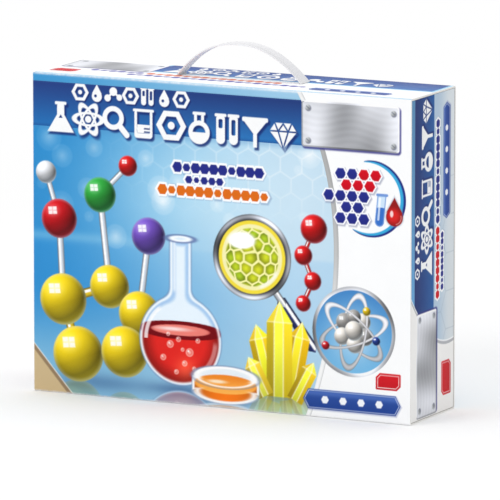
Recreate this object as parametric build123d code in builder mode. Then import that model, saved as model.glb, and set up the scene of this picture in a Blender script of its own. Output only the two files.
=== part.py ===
from build123d import *
import math
import os

# All sizes are in millimetres. X runs along the case, -Y is its front and +Z is up.
# The origin is at the centre of the surface that the case stands on.

# ---- Carton ----
case_length = 400.0
case_height = 310.0
case_depth = 98.0
board = 1.6
inner_fold_radius = 0.6
seam_flap_width = 25.0
seam_flap_thickness = 1.2
seam_flap_end_gap = 8.0
doubler_thickness = 1.2
doubler_border = 26.0
doubler_width = 64.0

# ---- Left end flaps ----
flap_gap = 0.2
flap_side_gap = 0.5
tongue_depth = 20.0
tongue_swing_clearance = 0.25
tongue_corner_gap = 10.0
tongue_corner_radius = 8.0
dust_flap_length = 45.0
dust_flap_root_gap = 6.0
dust_flap_tongue_gap = 4.0
dust_flap_turn_share = 0.5

# ---- Strap handle ----
strap_half_span = 66.0
strap_rise = 33.5
strap_width = 18.0
strap_thickness = 1.4
grip_half_length = 30.0
slot_clearance = 0.8
anchor_bar_length = 28.0
anchor_bar_width = 10.0
anchor_bar_thickness = 1.6
anchor_seat_gap = 0.1
anchor_drop = 12.0

# ---- Drawer tray ----
drawer_clearance = 0.4
drawer_end_gap = 0.6
drawer_end_recess = 0.4
tray_board = 1.6
tray_front_gap = 5.0
tray_head_clearance = 1.5
middle_column_width = 132.0
right_column_width = 137.0

# ---- Contents ----
item_gap = 4.0
jar_diameter = 34.0
jar_height = 42.0
jar_lid_diameter = 36.0
jar_lid_height = 12.0
jar_gap = 2.0
jar_headroom = 22.0
jar_corner_radius = 2.0
booklet_thickness = 2.4
booklet_headroom = 38.0
booklet_spine_radius = 1.0
spoon_width = 6.0
spoon_thickness = 2.5
spoon_bowl_length = 26.0
spoon_bowl_width = 16.0
pipette_diameter = 6.0
pipette_bore = 3.0
bulb_diameter = 15.0
bulb_length = 34.0
cylinder_bore = 22.0
cylinder_wall = 1.3
cylinder_tube_height = 122.0
cylinder_foot_diameter = 46.0
cylinder_foot_height = 5.0
cylinder_headroom = 12.0
beaker_width = 52.0
beaker_height = 68.0
beaker_wall = 1.4
beaker_corner_radius = 7.0
beaker_taper = 2.0
rack_board = 2.5
rack_width = 32.0
rack_height = 50.0
rack_side_gap = 3.0
tube_count = 3
tube_diameter = 16.0
tube_wall = 1.0
tube_rim = 1.2
tube_rim_height = 2.0
tube_hole_clearance = 0.5
tube_headroom = 8.0
cap_height = 9.0
cap_overhang = 1.2
cap_plug_length = 7.0
cap_plug_clearance = 0.15
seat_gap = 0.2
flask_base_radius = 29.0
flask_neck_radius = 11.0
flask_shoulder_height = 68.0
flask_neck_length = 30.0
flask_wall = 1.3
flask_rim = 1.5
funnel_radius = 25.0
funnel_wall = 1.3
funnel_cone_height = 36.0
funnel_stem_radius = 3.6
funnel_stem_length = 34.0
goggles_height = 64.0
goggles_depth = 26.0
goggles_wall = 3.0
goggles_lens_thickness = 2.0
goggles_corner_radius = 24.0
goggles_side_gap = 3.0
goggles_headroom = 38.0
band_height = 18.0
band_thickness = 1.5
band_reach = 24.0

# ---- Positions worked out from the sizes above ----
half_length = case_length / 2
half_depth = case_depth / 2
inner_half_depth = half_depth - board
inner_top = case_height - board
fold_radius = inner_fold_radius + board

dust_outer_x = -half_length + board + flap_gap
dust_inner_x = dust_outer_x + board

slot_centre = strap_half_span - strap_thickness / math.sqrt(2)
slot_length = strap_width + 2 * slot_clearance
slot_width = strap_thickness * math.sqrt(2) + 2 * slot_clearance
doubler_bottom = inner_top - doubler_thickness
anchor_top = doubler_bottom - anchor_seat_gap
anchor_bottom = anchor_top - anchor_bar_thickness

tray_back = inner_half_depth - seam_flap_thickness - drawer_clearance
tray_front = -inner_half_depth + tray_front_gap
tray_bottom = board + drawer_clearance
tray_top = anchor_bottom - anchor_drop - tray_head_clearance
tray_left = dust_inner_x + drawer_end_gap
end_outer_x = half_length - drawer_end_recess
end_inner_x = end_outer_x - board

floor_face = tray_back - tray_board
low_shelf_face = tray_bottom + tray_board
ceiling_face = tray_top - tray_board
tray_middle_y = (tray_front + floor_face) / 2

right_divider_right = end_inner_x - right_column_width
right_divider_left = right_divider_right - tray_board
left_divider_right = right_divider_left - middle_column_width
left_divider_left = left_divider_right - tray_board
left_column_left = tray_left + tray_board
left_column_width = left_divider_left - left_column_left

left_shelf_bottom = low_shelf_face + jar_height + jar_lid_height + jar_headroom
left_shelf_face = left_shelf_bottom + tray_board
middle_shelf_bottom = low_shelf_face + cylinder_foot_height + cylinder_tube_height + cylinder_headroom
middle_shelf_face = middle_shelf_bottom + tray_board
right_shelf_bottom = low_shelf_face + goggles_height + goggles_headroom
right_shelf_face = right_shelf_bottom + tray_board

os.makedirs("parts", exist_ok=True)


def save(piece, name):
    """Labels a finished piece and writes it to its own file."""
    piece.part.label = name
    export_step(piece.part, f"parts/{name}.step")


def plate(name, x_span, y_span, z_span):
    """A rectangular sheet of board between two planes in each direction."""
    with BuildPart() as sheet:
        with BuildSketch(Plane.XY.offset(z_span[0])):
            with Locations(((x_span[0] + x_span[1]) / 2, (y_span[0] + y_span[1]) / 2)):
                Rectangle(x_span[1] - x_span[0], y_span[1] - y_span[0])
        extrude(amount=z_span[1] - z_span[0])
    save(sheet, name)


# ---- Sleeve: one tube of board, its four panels meeting in mitres at the rounded folds ----
def sleeve_outline(share):
    """The part of the tube's section that lies in one triangle or quadrilateral."""
    with Locations((0, case_height / 2)):
        RectangleRounded(case_depth, case_height, fold_radius)
        RectangleRounded(
            case_depth - 2 * board, case_height - 2 * board, inner_fold_radius, mode=Mode.SUBTRACT
        )
    Polygon(*share, align=None, mode=Mode.INTERSECT)


def end_mitre(corner, along):
    """The wedge at a left fold that lets the flap there swing out on its outer corner."""
    reach = 2 * board
    Polygon(
        corner,
        (corner[0], corner[1] + along * reach),
        (corner[0] + reach, corner[1] + along * reach),
        align=None,
    )


front_share = [(-half_depth, 0), (0, half_depth), (0, case_height - half_depth), (-half_depth, case_height)]
with BuildPart() as front_panel:
    with BuildSketch(Plane.YZ.offset(-half_length)):
        sleeve_outline(front_share)
    extrude(amount=case_length)
save(front_panel, "front_panel")

back_share = [(-y, z) for y, z in front_share]
with BuildPart() as back_panel:
    with BuildSketch(Plane.YZ.offset(-half_length)):
        sleeve_outline(back_share)
    extrude(amount=case_length)
    with BuildSketch(Plane.XY):
        end_mitre((-half_length, half_depth), -1)
    extrude(amount=case_height, mode=Mode.SUBTRACT)
save(back_panel, "back_panel")

top_share = [(-half_depth, case_height), (half_depth, case_height), (0, case_height - half_depth)]
with BuildPart() as top_panel:
    with BuildSketch(Plane.YZ.offset(dust_outer_x)):
        sleeve_outline(top_share)
    extrude(amount=half_length - dust_outer_x)
    with BuildSketch(Plane.XZ):
        end_mitre((dust_outer_x, case_height), -1)
    extrude(amount=half_depth, both=True, mode=Mode.SUBTRACT)
    with BuildSketch(Plane.XY.offset(case_height)):
        with Locations((-slot_centre, 0), (slot_centre, 0)):
            Rectangle(slot_width, slot_length)
    extrude(amount=-2 * board, mode=Mode.SUBTRACT)
save(top_panel, "top_panel")

bottom_share = [(-half_depth, 0), (0, half_depth), (half_depth, 0)]
with BuildPart() as bottom_panel:
    with BuildSketch(Plane.YZ.offset(dust_outer_x)):
        sleeve_outline(bottom_share)
    extrude(amount=half_length - dust_outer_x)
    with BuildSketch(Plane.XZ):
        end_mitre((dust_outer_x, 0), 1)
    extrude(amount=half_depth, both=True, mode=Mode.SUBTRACT)
save(bottom_panel, "bottom_panel")

plate(
    "glue_seam_flap",
    (-half_length + seam_flap_end_gap, half_length - seam_flap_end_gap),
    (inner_half_depth - seam_flap_thickness, inner_half_depth),
    (board + inner_fold_radius, board + inner_fold_radius + seam_flap_width),
)

with BuildPart() as top_doubler:
    with BuildSketch(Plane.XY.offset(doubler_bottom)):
        RectangleRounded(2 * (slot_centre + doubler_border), doubler_width, doubler_border / 4)
        with Locations((-slot_centre, 0), (slot_centre, 0)):
            Rectangle(slot_width, slot_length, mode=Mode.SUBTRACT)
    extrude(amount=doubler_thickness)
save(top_doubler, "top_doubler")

# ---- Left end flap: hinged on the back fold, its tongue tucks inside the front panel ----
tongue_root_y = -inner_half_depth + tongue_swing_clearance
swing_radius = half_depth - tongue_root_y
tongue_tip_y = half_depth - math.sqrt(swing_radius**2 - tongue_depth**2)
flap_inner_x = -half_length + board
hinge_edge_y = half_depth - flap_gap

with BuildPart() as left_end_flap:
    with BuildSketch(Plane.XY.offset(flap_side_gap)):
        Polygon(
            (-half_length, hinge_edge_y),
            (flap_inner_x, hinge_edge_y - board),
            (flap_inner_x, tongue_root_y),
            (-half_length, tongue_root_y),
            align=None,
        )
    extrude(amount=case_height - 2 * flap_side_gap)
save(left_end_flap, "left_end_flap")

with BuildPart() as left_tuck_tongue:
    with BuildSketch(Plane.XY.offset(tongue_corner_gap)):
        Polygon(
            (flap_inner_x, tongue_root_y),
            (flap_inner_x, tongue_root_y + board),
            (-half_length + tongue_depth, tongue_tip_y + board),
            (-half_length + tongue_depth, tongue_tip_y),
            align=None,
        )
    extrude(amount=case_height - 2 * tongue_corner_gap)
    tip_corners = left_tuck_tongue.edges().filter_by(Axis.Y).group_by(Axis.X)[-1]
    fillet(tip_corners, radius=tongue_corner_radius)
save(left_tuck_tongue, "left_tuck_tongue")


def dust_flap(name, fold_z, inwards):
    """A small flap behind the end flap. Its side near the end flap's fold is slanted, so that
    it opens without touching the end flap, which turns faster."""
    tip_z = fold_z + inwards * dust_flap_length
    root_y = inner_half_depth - dust_flap_root_gap
    slant_y = half_depth - dust_flap_root_gap - dust_flap_turn_share * dust_flap_length
    far_y = tongue_root_y + dust_flap_tongue_gap
    with BuildPart() as flap:
        with BuildSketch(Plane.YZ.offset(dust_outer_x)):
            Polygon((root_y, fold_z), (slant_y, tip_z), (far_y, tip_z), (far_y, fold_z), align=None)
        extrude(amount=board)
        with BuildSketch(Plane.XZ):
            reach = 2 * board
            Polygon(
                (dust_outer_x, fold_z + inwards * flap_gap),
                (dust_outer_x + reach, fold_z + inwards * (reach + flap_gap)),
                (dust_outer_x + reach, fold_z),
                (dust_outer_x, fold_z),
                align=None,
            )
        extrude(amount=half_depth, both=True, mode=Mode.SUBTRACT)
    save(flap, name)


dust_flap("top_dust_flap", case_height, -1)
dust_flap("bottom_dust_flap", 0, 1)


# ---- Strap handle: a flat band in a parabolic arch over the top panel ----
def strap_piece(name, x_low, x_high):
    """The band between two distances from the middle of the case."""
    inner_half_span = strap_half_span - strap_thickness * math.sqrt(2)
    inner_rise = strap_rise - strap_thickness
    with BuildPart() as band:
        with BuildSketch(Plane.XZ):
            with BuildLine():
                Bezier(
                    (-strap_half_span, case_height),
                    (0, case_height + 2 * strap_rise),
                    (strap_half_span, case_height),
                )
                Line((strap_half_span, case_height), (inner_half_span, case_height))
                Bezier(
                    (inner_half_span, case_height),
                    (0, case_height + 2 * inner_rise),
                    (-inner_half_span, case_height),
                )
                Line((-inner_half_span, case_height), (-strap_half_span, case_height))
            make_face()
            with Locations(((x_low + x_high) / 2, case_height + strap_rise)):
                Rectangle(x_high - x_low, 4 * strap_rise, mode=Mode.INTERSECT)
        extrude(amount=strap_width / 2, both=True)
    save(band, name)


strap_piece("strap_grip", -grip_half_length, grip_half_length)
strap_piece("strap_leg_left", -strap_half_span, -grip_half_length)
strap_piece("strap_leg_right", grip_half_length, strap_half_span)


def strap_anchor(name, side):
    """The strap's end below its slot, with the cross bar that keeps it from pulling out."""
    with BuildPart() as anchor:
        with BuildSketch(Plane.XY.offset(anchor_bottom)):
            with Locations((side * slot_centre, 0)):
                RectangleRounded(anchor_bar_width, anchor_bar_length, anchor_bar_width / 4)
        extrude(amount=anchor_bar_thickness)
        with BuildSketch(Plane.XY.offset(anchor_top)):
            with Locations((side * slot_centre, 0)):
                Rectangle(strap_thickness, strap_width)
        extrude(amount=case_height - anchor_top)
    save(anchor, name)


strap_anchor("strap_anchor_left", -1)
strap_anchor("strap_anchor_right", 1)

# ---- Drawer tray: it lies on its floor when the case lies on its back ----
tray_depth_span = (tray_front, floor_face)
plate("drawer_floor", (tray_left, end_inner_x), (floor_face, tray_back), (tray_bottom, tray_top))
plate("drawer_bottom_wall", (tray_left, end_inner_x), tray_depth_span, (tray_bottom, low_shelf_face))
plate("drawer_top_wall", (tray_left, end_inner_x), tray_depth_span, (ceiling_face, tray_top))
plate("drawer_left_end", (tray_left, left_column_left), tray_depth_span, (low_shelf_face, ceiling_face))
end_half_depth = inner_half_depth - drawer_clearance
plate(
    "drawer_right_end",
    (end_inner_x, end_outer_x),
    (-end_half_depth, end_half_depth),
    (tray_bottom, inner_top - drawer_clearance),
)
full_column = (low_shelf_face, ceiling_face)
plate("divider_left", (left_divider_left, left_divider_right), tray_depth_span, full_column)
plate("divider_right", (right_divider_left, right_divider_right), tray_depth_span, full_column)
plate("shelf_left", (left_column_left, left_divider_left), tray_depth_span, (left_shelf_bottom, left_shelf_face))
plate(
    "shelf_middle",
    (left_divider_right, right_divider_left),
    tray_depth_span,
    (middle_shelf_bottom, middle_shelf_face),
)
plate("shelf_right", (right_divider_right, end_inner_x), tray_depth_span, (right_shelf_bottom, right_shelf_face))

# ---- Left column: reagent jars below, booklet, spoon and pipette above ----
jar_pitch = jar_lid_diameter + jar_gap
jar_columns = int((left_column_width - jar_gap) / jar_pitch)
jar_rows = int((floor_face - tray_front - jar_gap) / jar_pitch)
jar_middle_x = (left_column_left + left_divider_left) / 2
jar_plane = Plane((jar_middle_x, tray_middle_y, low_shelf_face))
with BuildPart() as reagent_jars:
    with BuildSketch(jar_plane):
        with GridLocations(jar_pitch, jar_pitch, jar_columns, jar_rows):
            Circle(jar_diameter / 2)
    extrude(amount=jar_height)
    rims = reagent_jars.edges().group_by(Axis.Z)
    fillet(rims[0] + rims[-1], radius=jar_corner_radius)
save(reagent_jars, "reagent_jars")

with BuildPart() as reagent_jar_lids:
    with BuildSketch(jar_plane.offset(jar_height)):
        with GridLocations(jar_pitch, jar_pitch, jar_columns, jar_rows):
            Circle(jar_lid_diameter / 2)
    extrude(amount=jar_lid_height)
    fillet(reagent_jar_lids.edges().group_by(Axis.Z)[-1], radius=jar_corner_radius / 2)
save(reagent_jar_lids, "reagent_jar_lids")

booklet_width = left_column_width - 2 * item_gap
booklet_height = ceiling_face - left_shelf_face - booklet_headroom
with BuildPart() as instruction_booklet:
    with BuildSketch(Plane.XY.offset(left_shelf_face)):
        with Locations((jar_middle_x, floor_face - booklet_thickness / 2)):
            Rectangle(booklet_width, booklet_thickness)
    extrude(amount=booklet_height)
    spine = instruction_booklet.edges().filter_by(Axis.Z).group_by(Axis.X)[0]
    fillet(spine.sort_by(Axis.Y)[0], radius=booklet_spine_radius)
save(instruction_booklet, "instruction_booklet")

spoon_length = left_column_width - 2 * item_gap
spoon_handle_length = spoon_length - spoon_bowl_length / 2
spoon_plane = Plane((left_column_left + item_gap, tray_front + item_gap + spoon_bowl_width / 2, left_shelf_face))
with BuildPart() as stirring_spoon:
    with BuildSketch(spoon_plane):
        with Locations((spoon_handle_length / 2, 0)):
            SlotOverall(spoon_handle_length, spoon_width)
        with Locations((spoon_length - spoon_bowl_length / 2, 0)):
            Ellipse(spoon_bowl_length / 2, spoon_bowl_width / 2)
    extrude(amount=spoon_thickness)
save(stirring_spoon, "stirring_spoon")

pipette_y = spoon_plane.origin.Y + spoon_bowl_width / 2 + item_gap + bulb_diameter / 2
pipette_z = left_shelf_face + bulb_diameter / 2 + seat_gap
pipette_length = left_column_width - 2 * item_gap - bulb_length
bulb_plane = Plane(origin=(left_column_left + item_gap, pipette_y, pipette_z), x_dir=(0, 1, 0), z_dir=(1, 0, 0))
with BuildPart() as pipette_bulb:
    with BuildSketch(bulb_plane):
        Circle(bulb_diameter / 2)
    extrude(amount=bulb_length)
    bulb_rims = pipette_bulb.edges().group_by(Axis.X)
    fillet(bulb_rims[0] + bulb_rims[-1], radius=bulb_diameter / 4)
save(pipette_bulb, "pipette_bulb")

with BuildPart() as pipette_tube:
    with BuildSketch(bulb_plane.offset(bulb_length)):
        Circle(pipette_diameter / 2)
        Circle(pipette_bore / 2, mode=Mode.SUBTRACT)
    extrude(amount=pipette_length)
save(pipette_tube, "pipette_tube")

# ---- Middle column: test tube rack above, square beaker and measuring cylinder below ----
middle_column_x = (left_divider_right + right_divider_left) / 2
rack_half_length = middle_column_width / 2 - rack_side_gap
rack_top_z = middle_shelf_face + rack_height - rack_board
tube_pitch = 2 * (rack_half_length - rack_board) / tube_count
tube_bottom = middle_shelf_face + rack_board + seat_gap
tube_top = ceiling_face - tube_headroom - cap_height
rack_plane = Plane((middle_column_x, tray_middle_y, middle_shelf_face))
with BuildPart() as rack_base:
    with BuildSketch(rack_plane):
        Rectangle(2 * (rack_half_length - rack_board), rack_width)
    extrude(amount=rack_board)
save(rack_base, "rack_base")

with BuildPart() as rack_top_plate:
    with BuildSketch(rack_plane.offset(rack_height - rack_board)):
        Rectangle(2 * (rack_half_length - rack_board), rack_width)
        with GridLocations(tube_pitch, 0, tube_count, 1):
            Circle(tube_diameter / 2 + tube_hole_clearance, mode=Mode.SUBTRACT)
    extrude(amount=rack_board)
save(rack_top_plate, "rack_top_plate")

with BuildPart() as rack_ends:
    with BuildSketch(rack_plane):
        end_x = rack_half_length - rack_board / 2
        with Locations((-end_x, 0), (end_x, 0)):
            Rectangle(rack_board, rack_width)
    extrude(amount=rack_height)
save(rack_ends, "rack_ends")

for number in range(tube_count):
    tube_x = middle_column_x + (number - (tube_count - 1) / 2) * tube_pitch
    tube_plane = Plane(origin=(tube_x, tray_middle_y, tube_bottom), x_dir=(1, 0, 0), z_dir=(0, -1, 0))
    outer = tube_diameter / 2
    inner = outer - tube_wall
    height = tube_top - tube_bottom
    with BuildPart() as test_tube:
        with BuildSketch(tube_plane):
            with BuildLine():
                RadiusArc((0, 0), (outer, outer), -outer)
                Polyline(
                    (outer, outer),
                    (outer, height - tube_rim_height),
                    (outer + tube_rim, height - tube_rim_height),
                    (outer + tube_rim, height),
                    (inner, height),
                    (inner, outer),
                )
                RadiusArc((inner, outer), (0, tube_wall), inner)
                Line((0, tube_wall), (0, 0))
            make_face()
        revolve(axis=Axis((tube_x, tray_middle_y, 0), (0, 0, 1)))
    save(test_tube, f"test_tube_{number + 1}")

cap_radius = tube_diameter / 2 + tube_rim + cap_overhang
with BuildPart() as tube_caps:
    with BuildSketch(rack_plane.offset(tube_top - middle_shelf_face)):
        with GridLocations(tube_pitch, 0, tube_count, 1):
            Circle(cap_radius)
    extrude(amount=cap_height)
    fillet(tube_caps.edges().group_by(Axis.Z)[-1], radius=cap_overhang)
    with BuildSketch(rack_plane.offset(tube_top - middle_shelf_face)):
        with GridLocations(tube_pitch, 0, tube_count, 1):
            Circle(tube_diameter / 2 - tube_wall - cap_plug_clearance)
    extrude(amount=-cap_plug_length)
save(tube_caps, "tube_caps")

beaker_x = left_divider_right + item_gap + beaker_width / 2
beaker_plane = Plane((beaker_x, tray_middle_y, low_shelf_face))
base_width = beaker_width - 2 * beaker_height * math.tan(math.radians(beaker_taper))
with BuildPart() as square_beaker:
    with BuildSketch(beaker_plane):
        RectangleRounded(base_width, base_width, beaker_corner_radius)
    extrude(amount=beaker_height, taper=-beaker_taper)
    with BuildSketch(beaker_plane.offset(beaker_wall)):
        RectangleRounded(
            base_width - 2 * beaker_wall, base_width - 2 * beaker_wall, beaker_corner_radius - beaker_wall
        )
    extrude(amount=beaker_height - beaker_wall, taper=-beaker_taper, mode=Mode.SUBTRACT)
save(square_beaker, "square_beaker")


def turned_vessel(name, centre_x, base_z, corners):
    """A thin-walled vessel turned about its upright axis from the corners of half its section."""
    with BuildPart() as vessel:
        section_plane = Plane(origin=(centre_x, tray_middle_y, base_z), x_dir=(1, 0, 0), z_dir=(0, -1, 0))
        with BuildSketch(section_plane):
            with BuildLine():
                Polyline(*corners, close=True)
            make_face()
        revolve(axis=Axis((centre_x, tray_middle_y, 0), (0, 0, 1)))
    save(vessel, name)


cylinder_inner = cylinder_bore / 2
cylinder_outer = cylinder_inner + cylinder_wall
cylinder_height = cylinder_foot_height + cylinder_tube_height
turned_vessel(
    "measuring_cylinder",
    right_divider_left - item_gap - cylinder_foot_diameter / 2,
    low_shelf_face,
    [
        (0, 0),
        (cylinder_foot_diameter / 2, 0),
        (cylinder_foot_diameter / 2, cylinder_foot_height / 2),
        (cylinder_outer, cylinder_foot_height),
        (cylinder_outer, cylinder_height - 2 * cylinder_wall),
        (cylinder_outer + cylinder_wall, cylinder_height),
        (cylinder_inner, cylinder_height),
        (cylinder_inner, cylinder_foot_height + cylinder_wall),
        (0, cylinder_foot_height + cylinder_wall),
    ],
)

# ---- Right column: conical flask and funnel above, goggles below ----
flask_height = flask_shoulder_height + flask_neck_length
flask_lean = math.atan2(flask_base_radius - flask_neck_radius, flask_shoulder_height)
flask_inset = flask_wall / math.cos(flask_lean)
flask_floor_radius = flask_base_radius - flask_inset - flask_wall * math.tan(flask_lean)
turned_vessel(
    "conical_flask",
    right_divider_right + item_gap + flask_base_radius,
    right_shelf_face,
    [
        (0, 0),
        (flask_base_radius, 0),
        (flask_neck_radius, flask_shoulder_height),
        (flask_neck_radius, flask_height - flask_rim),
        (flask_neck_radius + flask_rim, flask_height - flask_rim),
        (flask_neck_radius + flask_rim, flask_height),
        (flask_neck_radius - flask_wall, flask_height),
        (flask_neck_radius - flask_wall, flask_shoulder_height),
        (flask_floor_radius, flask_wall),
        (0, flask_wall),
    ],
)

funnel_stem_bore = funnel_stem_radius - funnel_wall
funnel_height = funnel_cone_height + funnel_stem_length
turned_vessel(
    "funnel",
    end_inner_x - item_gap - funnel_radius,
    right_shelf_face,
    [
        (funnel_radius - funnel_wall, 0),
        (funnel_radius, 0),
        (funnel_radius, 2 * funnel_wall),
        (funnel_stem_radius, funnel_cone_height),
        (funnel_stem_radius, funnel_height),
        (funnel_stem_bore, funnel_height),
        (funnel_stem_bore, funnel_cone_height - funnel_wall),
        (funnel_radius - funnel_wall, funnel_wall),
    ],
)

goggles_width = right_column_width - 2 * goggles_side_gap
goggles_x = (right_divider_right + end_inner_x) / 2
goggles_front = tray_front + item_gap + goggles_lens_thickness
goggles_plane = Plane(
    origin=(goggles_x, goggles_front, low_shelf_face + goggles_height / 2), x_dir=(1, 0, 0), z_dir=(0, -1, 0)
)
with BuildPart() as goggles_frame:
    with BuildSketch(goggles_plane):
        RectangleRounded(goggles_width, goggles_height, goggles_corner_radius)
        RectangleRounded(
            goggles_width - 2 * goggles_wall,
            goggles_height - 2 * goggles_wall,
            goggles_corner_radius - goggles_wall,
            mode=Mode.SUBTRACT,
        )
    extrude(amount=-goggles_depth)
save(goggles_frame, "goggles_frame")

with BuildPart() as goggles_lens:
    with BuildSketch(goggles_plane):
        RectangleRounded(goggles_width, goggles_height, goggles_corner_radius)
    extrude(amount=goggles_lens_thickness)
    fillet(goggles_lens.edges().group_by(Axis.Y)[0], radius=goggles_lens_thickness / 2)
save(goggles_lens, "goggles_lens")

band_front = goggles_front + goggles_depth
band_radius = band_reach / 2
band_plane = Plane((goggles_x, band_front, low_shelf_face + (goggles_height - band_height) / 2))
with BuildPart() as goggles_band:
    with BuildSketch(band_plane):
        RectangleRounded(goggles_width, 2 * band_reach, band_radius)
        RectangleRounded(
            goggles_width - 2 * band_thickness,
            2 * (band_reach - band_thickness),
            band_radius - band_thickness,
            mode=Mode.SUBTRACT,
        )
        with Locations((0, -band_reach)):
            Rectangle(goggles_width + band_reach, 2 * band_reach, mode=Mode.SUBTRACT)
    extrude(amount=band_height)
save(goggles_band, "goggles_band")
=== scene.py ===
"""Looks of the chemistry set case: a printed carton with a strap handle and a drawer tray of laboratory ware."""
import math
import random

import bmesh
import bpy
import numpy as np
from mathutils import Matrix, Vector


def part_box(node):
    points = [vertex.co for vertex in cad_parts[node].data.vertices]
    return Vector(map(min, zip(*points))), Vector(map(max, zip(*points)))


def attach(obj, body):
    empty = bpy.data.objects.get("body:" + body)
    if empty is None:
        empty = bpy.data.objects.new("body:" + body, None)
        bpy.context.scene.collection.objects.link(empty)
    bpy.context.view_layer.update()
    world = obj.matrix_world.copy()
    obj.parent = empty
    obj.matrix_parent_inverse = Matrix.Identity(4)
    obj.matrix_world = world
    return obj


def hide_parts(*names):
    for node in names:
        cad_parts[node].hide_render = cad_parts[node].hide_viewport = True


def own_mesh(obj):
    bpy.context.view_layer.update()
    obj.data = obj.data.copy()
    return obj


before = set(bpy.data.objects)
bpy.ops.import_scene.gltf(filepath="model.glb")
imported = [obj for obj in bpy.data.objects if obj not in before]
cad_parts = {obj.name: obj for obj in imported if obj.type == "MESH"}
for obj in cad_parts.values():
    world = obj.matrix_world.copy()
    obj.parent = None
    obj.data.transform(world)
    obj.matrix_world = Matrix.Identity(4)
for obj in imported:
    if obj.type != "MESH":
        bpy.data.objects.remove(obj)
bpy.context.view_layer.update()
MM = 0.001


# ---- Places and sizes, in millimetres, worked out from the frame ----
class Room:
    """Where a node lies: its lowest and highest corners, its middle, the middle of its foot, and its size."""

    def __init__(self, node):
        self.low, self.high = (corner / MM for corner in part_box(node))
        self.middle, self.size = (self.low + self.high) / 2, self.high - self.low
        self.foot = Vector((self.middle.x, self.middle.y, self.low.z))


front_panel, right_end, left_flap = Room("front_panel"), Room("drawer_right_end"), Room("left_end_flap")
HALF_LENGTH = front_panel.high.x
HALF_DEPTH = -front_panel.low.y
HEIGHT = Room("top_panel").high.z
FOLD = 2.2
LAYER = 0.05


def linear(colour):
    """A seen colour as the amounts of light that a shader works with."""
    c = np.asarray(colour, float)
    return np.where(c <= 0.04045, c / 12.92, ((c + 0.055) / 1.055) ** 2.4)


def rgba(colour):
    return (*linear(colour).tolist(), 1.0)


def linked(name, data):
    """A new object in the scene."""
    thing = bpy.data.objects.new(name, data)
    bpy.context.scene.collection.objects.link(thing)
    return thing


# ---- Materials ----
NOISE_LOW, NOISE_HIGH = 0.3, 0.7
MIX_INPUTS, MIX_OUTPUT = (0, 6, 7), 2


class Nodes:
    """The nodes of a new material, or of a world, and short ways to add to them."""

    def __init__(self, name, kind="materials", shader="Principled BSDF"):
        self.owner = getattr(bpy.data, kind).new(name)
        self.owner.use_nodes = True
        self.tree = self.owner.node_tree
        self.shader = self.tree.nodes[shader]

    def feed(self, socket, value):
        """Link another node's output to a socket, or give the socket a plain value."""
        if isinstance(value, bpy.types.NodeSocket):
            self.tree.links.new(value, socket)
        else:
            socket.default_value = value

    def feed_all(self, sockets, values):
        for socket, value in zip(sockets, values):
            self.feed(socket, value)

    def add(self, kind, settings=(), **inputs):
        """A new node. An underscore in an input's name stands for a space."""
        node = self.tree.nodes.new("ShaderNode" + kind)
        for key, value in dict(settings).items():
            setattr(node, key, value)
        self.feed_all([node.inputs[key.replace("_", " ")] for key in inputs], inputs.values())
        return node

    def set(self, **values):
        """Set the shader's own inputs."""
        self.feed_all([self.shader.inputs[key.replace("_", " ")] for key in values], values.values())
        return self.owner

    def math(self, operation, *values):
        node = self.add("Math", {"operation": operation})
        self.feed_all(node.inputs, values)
        return node.outputs[0]

    def waves(self, value, pitch):
        return self.math("SINE", self.math("MULTIPLY", value, 2 * math.pi / pitch))

    def place(self, what="Object"):
        """The object's own place, or its own normal, so that it moves with its body."""
        return self.add("TexCoord").outputs[what]

    def split(self, what="Object"):
        return self.add("SeparateXYZ", Vector=self.place(what)).outputs

    def noise(self, scale, detail=3.0, roughness=0.5):
        node = self.add("TexNoise", Vector=self.place(), Scale=scale, Detail=detail, Roughness=roughness)
        return node.outputs["Fac"]

    def remap(self, value, low, high, to_low=0.0, to_high=1.0):
        limits = {"From_Min": low, "From_Max": high, "To_Min": to_low, "To_Max": to_high}
        return self.add("MapRange", Value=value, **limits).outputs["Result"]

    def patchy(self, scale, low, high, detail=3.0):
        """A number that wanders between two others, in patches."""
        return self.remap(self.noise(scale, detail), NOISE_LOW, NOISE_HIGH, low, high)

    def mix(self, factor, first, second):
        """Two colours mixed by a factor. The node's places for these are numbered, since its names repeat."""
        node = self.add("Mix", {"data_type": "RGBA"})
        self.feed_all([node.inputs[k] for k in MIX_INPUTS], (factor, first, second))
        return node.outputs[MIX_OUTPUT]

    def vary(self, colour, scale, amount):
        """The colour made a little lighter and darker by noise."""
        value = self.patchy(scale, 1 - amount, 1 + amount)
        return self.add("HueSaturation", Value=value, Color=colour).outputs["Color"]

    def bump(self, height, strength, distance):
        node = self.add("Bump", Height=height, Strength=strength, Distance=distance)
        self.set(Normal=node.outputs["Normal"])

    def cover(self, share_of, shader):
        """Another shader over the material's own, by a share."""
        both = self.add("MixShader")
        self.feed_all(both.inputs, (share_of, self.shader.outputs[0], shader.outputs[0]))
        self.feed(self.tree.nodes["Material Output"].inputs["Surface"], both.outputs[0])

    def past_faces(self, inset):
        """How far a place is out past the case's long faces, moved in by an inset: in depth and in height."""
        axes = self.split()
        middle = HEIGHT * MM / 2
        past_y = self.math("SUBTRACT", self.math("ABSOLUTE", axes["Y"]), (HALF_DEPTH - inset) * MM)
        from_middle = self.math("ABSOLUTE", self.math("SUBTRACT", axes["Z"], middle))
        return past_y, self.math("SUBTRACT", from_middle, middle - inset * MM)

    def facing(self, axis, low, high):
        """1 where the surface faces along an axis, or turned round, where it doesn't."""
        return self.remap(self.math("ABSOLUTE", self.split("Normal")[axis]), low, high)

    def seen_share(self):
        """1 for rays that look at the surroundings, straight or by gloss or glass, and 0 for light."""
        path = self.add("LightPath").outputs
        seen = self.math("MAXIMUM", path["Is Camera Ray"], path["Is Glossy Ray"])
        return self.math("MAXIMUM", seen, path["Is Transmission Ray"])


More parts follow.
